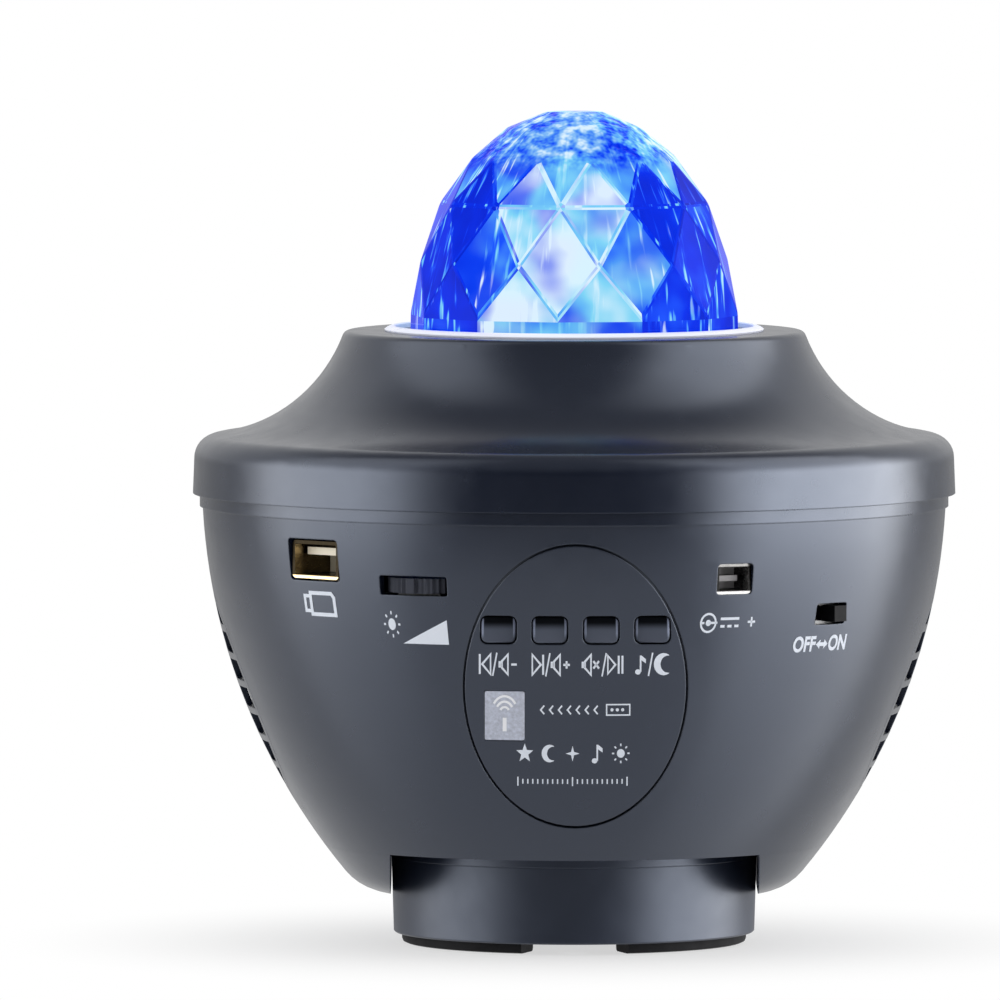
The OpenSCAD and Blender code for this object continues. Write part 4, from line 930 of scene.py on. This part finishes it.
def speaker():
    """A loudspeaker, pointing right."""
    horn = stroke([(-0.8, 0.6), (0.5, 1.9), (0.5, -1.9), (-0.8, -0.6)], LINE, closed=True)
    return box(-1.5, -0.6, -0.8, 0.6) + horn


def sun():
    shapes = disc(0, 0, 1.05)
    for turn in range(0, 360, 45):
        ray = math.cos(math.radians(turn)), math.sin(math.radians(turn))
        shapes += stroke([(1.75 * ray[0], 1.75 * ray[1]), (2.35 * ray[0], 2.35 * ray[1])], 0.38)
    return shapes


# ---------------------------------------------------------------- the marks

TALL = 1.15                              # the marks are stretched upwards, as on the photograph
WEDGE = [[(-5.4, -2.6), (5.3, -2.6), (5.3, 2.7)]]
ARROW = [(-1.5, 0), (-0.5, 0.9), (-0.5, 0.35), (0, 0.35), (0, -0.35), (-0.5, -0.35), (-0.5, -0.9)]
ARROWS = [ARROW, [(-x, -y) for x, y in ARROW]]
LETTERS = 3.2, 0.80                      # their height, and how wide they are for it
SWITCH_ROW, BUTTON_ROW = 68.2, 65.05     # heights


def stick():
    """A memory stick: its body and its plug."""
    body = [(-2.6, 2.3), (3.6, 2.3), (4.3, 1.4), (4.3, -2.3), (-2.6, -2.3)]
    plug = [(-2.6, 1.6), (-4.4, 1.6), (-4.4, -1.6), (-2.6, -1.6)]
    return stroke(body, 0.82, closed=True) + stroke(plug, 0.75)


def supply():
    """Direct current, between a round plug and its plus."""
    shapes = dash(0, 2.2, 0.7, 0.5) + [q for x in (-1.65, 0, 1.65) for q in dash(x, 0.5, -0.7, 0.5)]
    shapes += stroke(arc(-5.0, 0, 1.7, 0, 342, 18), LINE, closed=True) + disc(-5.0, 0, 0.6)
    return shapes + dash(-3.9, 1.0) + dash(-6.4, 0.5) + dash(5.2, 0.9) + bar(5.2, 0.9)


def track_back():
    shapes = bar(-3.9) + shifted(play(-1), -2.5) + slash(-0.7)
    return shapes + shifted(speaker(), 1.6) + dash(3.4, 0.6)


def track_ahead():
    shapes = shifted(play(), -2.9) + bar(-1.5) + slash(-0.5) + shifted(speaker(), 1.6)
    return shapes + dash(3.5, 0.7) + bar(3.5, 0.7)


def quiet():
    shapes = shifted(speaker(), -2.6) + stroke([(-1.6, 0.7), (-0.4, -0.7)], LINE)
    shapes += stroke([(-1.6, -0.7), (-0.4, 0.7)], LINE) + slash(0.7)
    return shapes + shifted(play(), 2.3, 0, 0.9) + bar(3.8, 1.7) + bar(4.6, 1.7)


def mode():
    return note(-2.8, 0) + slash(-0.6) + moon(2.2, 0, 2.1)


def signal():
    waves = [q for r in (1.1, 1.95, 2.8) for q in stroke(arc(0, 0, r, 35, 145, 12, 1.4 * r), 0.5)]
    return waves + shifted(bar(0, 1.5, 0.85), 0, -2.3)


def handset_and_beam():
    shapes = stroke([(-1.0, -1.1), (4.2, -1.1), (4.2, 1.1), (-1.0, 1.1)], 0.3, closed=True)
    for x in (0.2, 1.4, 2.6):
        shapes += disc(x, 0, 0.36, steps=10)
    for i in range(7):
        shapes += stroke([(-3.0 - 2.0 * i, 0.9), (-3.8 - 2.0 * i, 0), (-3.0 - 2.0 * i, -0.9)], 0.34)
    return shifted(shapes, 5.4, 0, 0.95, 1.1)


def sky():
    shapes = star(-10.2, 0, 1.9) + moon(-4.9, 0, 1.7) + star(0, 0, 1.5, 4, 0.3) + note(5.2, 0)
    return shapes + shifted(sun(), 10.3, 0, 0.8)


def ticks():
    return [q for i in range(23)
            for q in shifted(bar(0, 0.95 if i % 11 == 0 else 0.5, 0.26), -11 + i)]


def make_prints():
    bowl, panel, window = map(wall_of, ("bowl", "control_panel", "receiver_window"))
    marks = [
        # name, shapes, wall, direction in degrees, height, across
        ("stick_mark", stick(), bowl, -44.1, 76.9, 0),
        ("sun_mark", scaled(sun(), 0.86, 1.42), bowl, -30.2, 73.2, 0),
        ("wedge_mark", WEDGE, bowl, -24.5, 71.7, 0),
        ("supply_mark", scaled(supply(), 1.0, TALL), bowl, 25.0, 73.8, 0),
        ("off_mark", letters("OFF", *LETTERS), bowl, 39.8, SWITCH_ROW, 0),
        ("on_mark", letters("ON", *LETTERS), bowl, 47.2, SWITCH_ROW, 0),
        ("switch_mark", scaled(ARROWS, 1.15), bowl, 43.6, SWITCH_ROW, 0),
        ("back_mark", scaled(track_back(), 1.0, TALL), panel, 0, BUTTON_ROW, -16.5),
        ("ahead_mark", scaled(track_ahead(), 1.0, TALL), panel, 0, BUTTON_ROW, -5.4),
        ("quiet_mark", scaled(quiet(), 1.0, TALL), panel, 0, BUTTON_ROW, 5.4),
        ("mode_mark", scaled(mode(), 1.0, TALL), panel, 0, BUTTON_ROW, 16.6),
        ("signal_mark", signal(), window, 0, 54.2, -15.1, PALE_INK),
        ("aim_mark", handset_and_beam(), panel, 0, 55.2, 2.2),
        ("sky_marks", scaled(sky(), 1.0, TALL), panel, 0, 45.6, -0.6),
        ("tick_marks", scaled(ticks(), 1.06), panel, 0, 39.4, -0.6),
    ]
    for mark in marks:
        ink(*mark)


# ---------------------------------------------------------------- the whole scene

make_camera()
make_world()
make_floor()
make_lamps()
dress(make_materials(), node_materials())
make_dome_ring(make_dome())
make_drum_collar()
make_prints()

bpy.context.scene.view_settings.view_transform = "Standard"
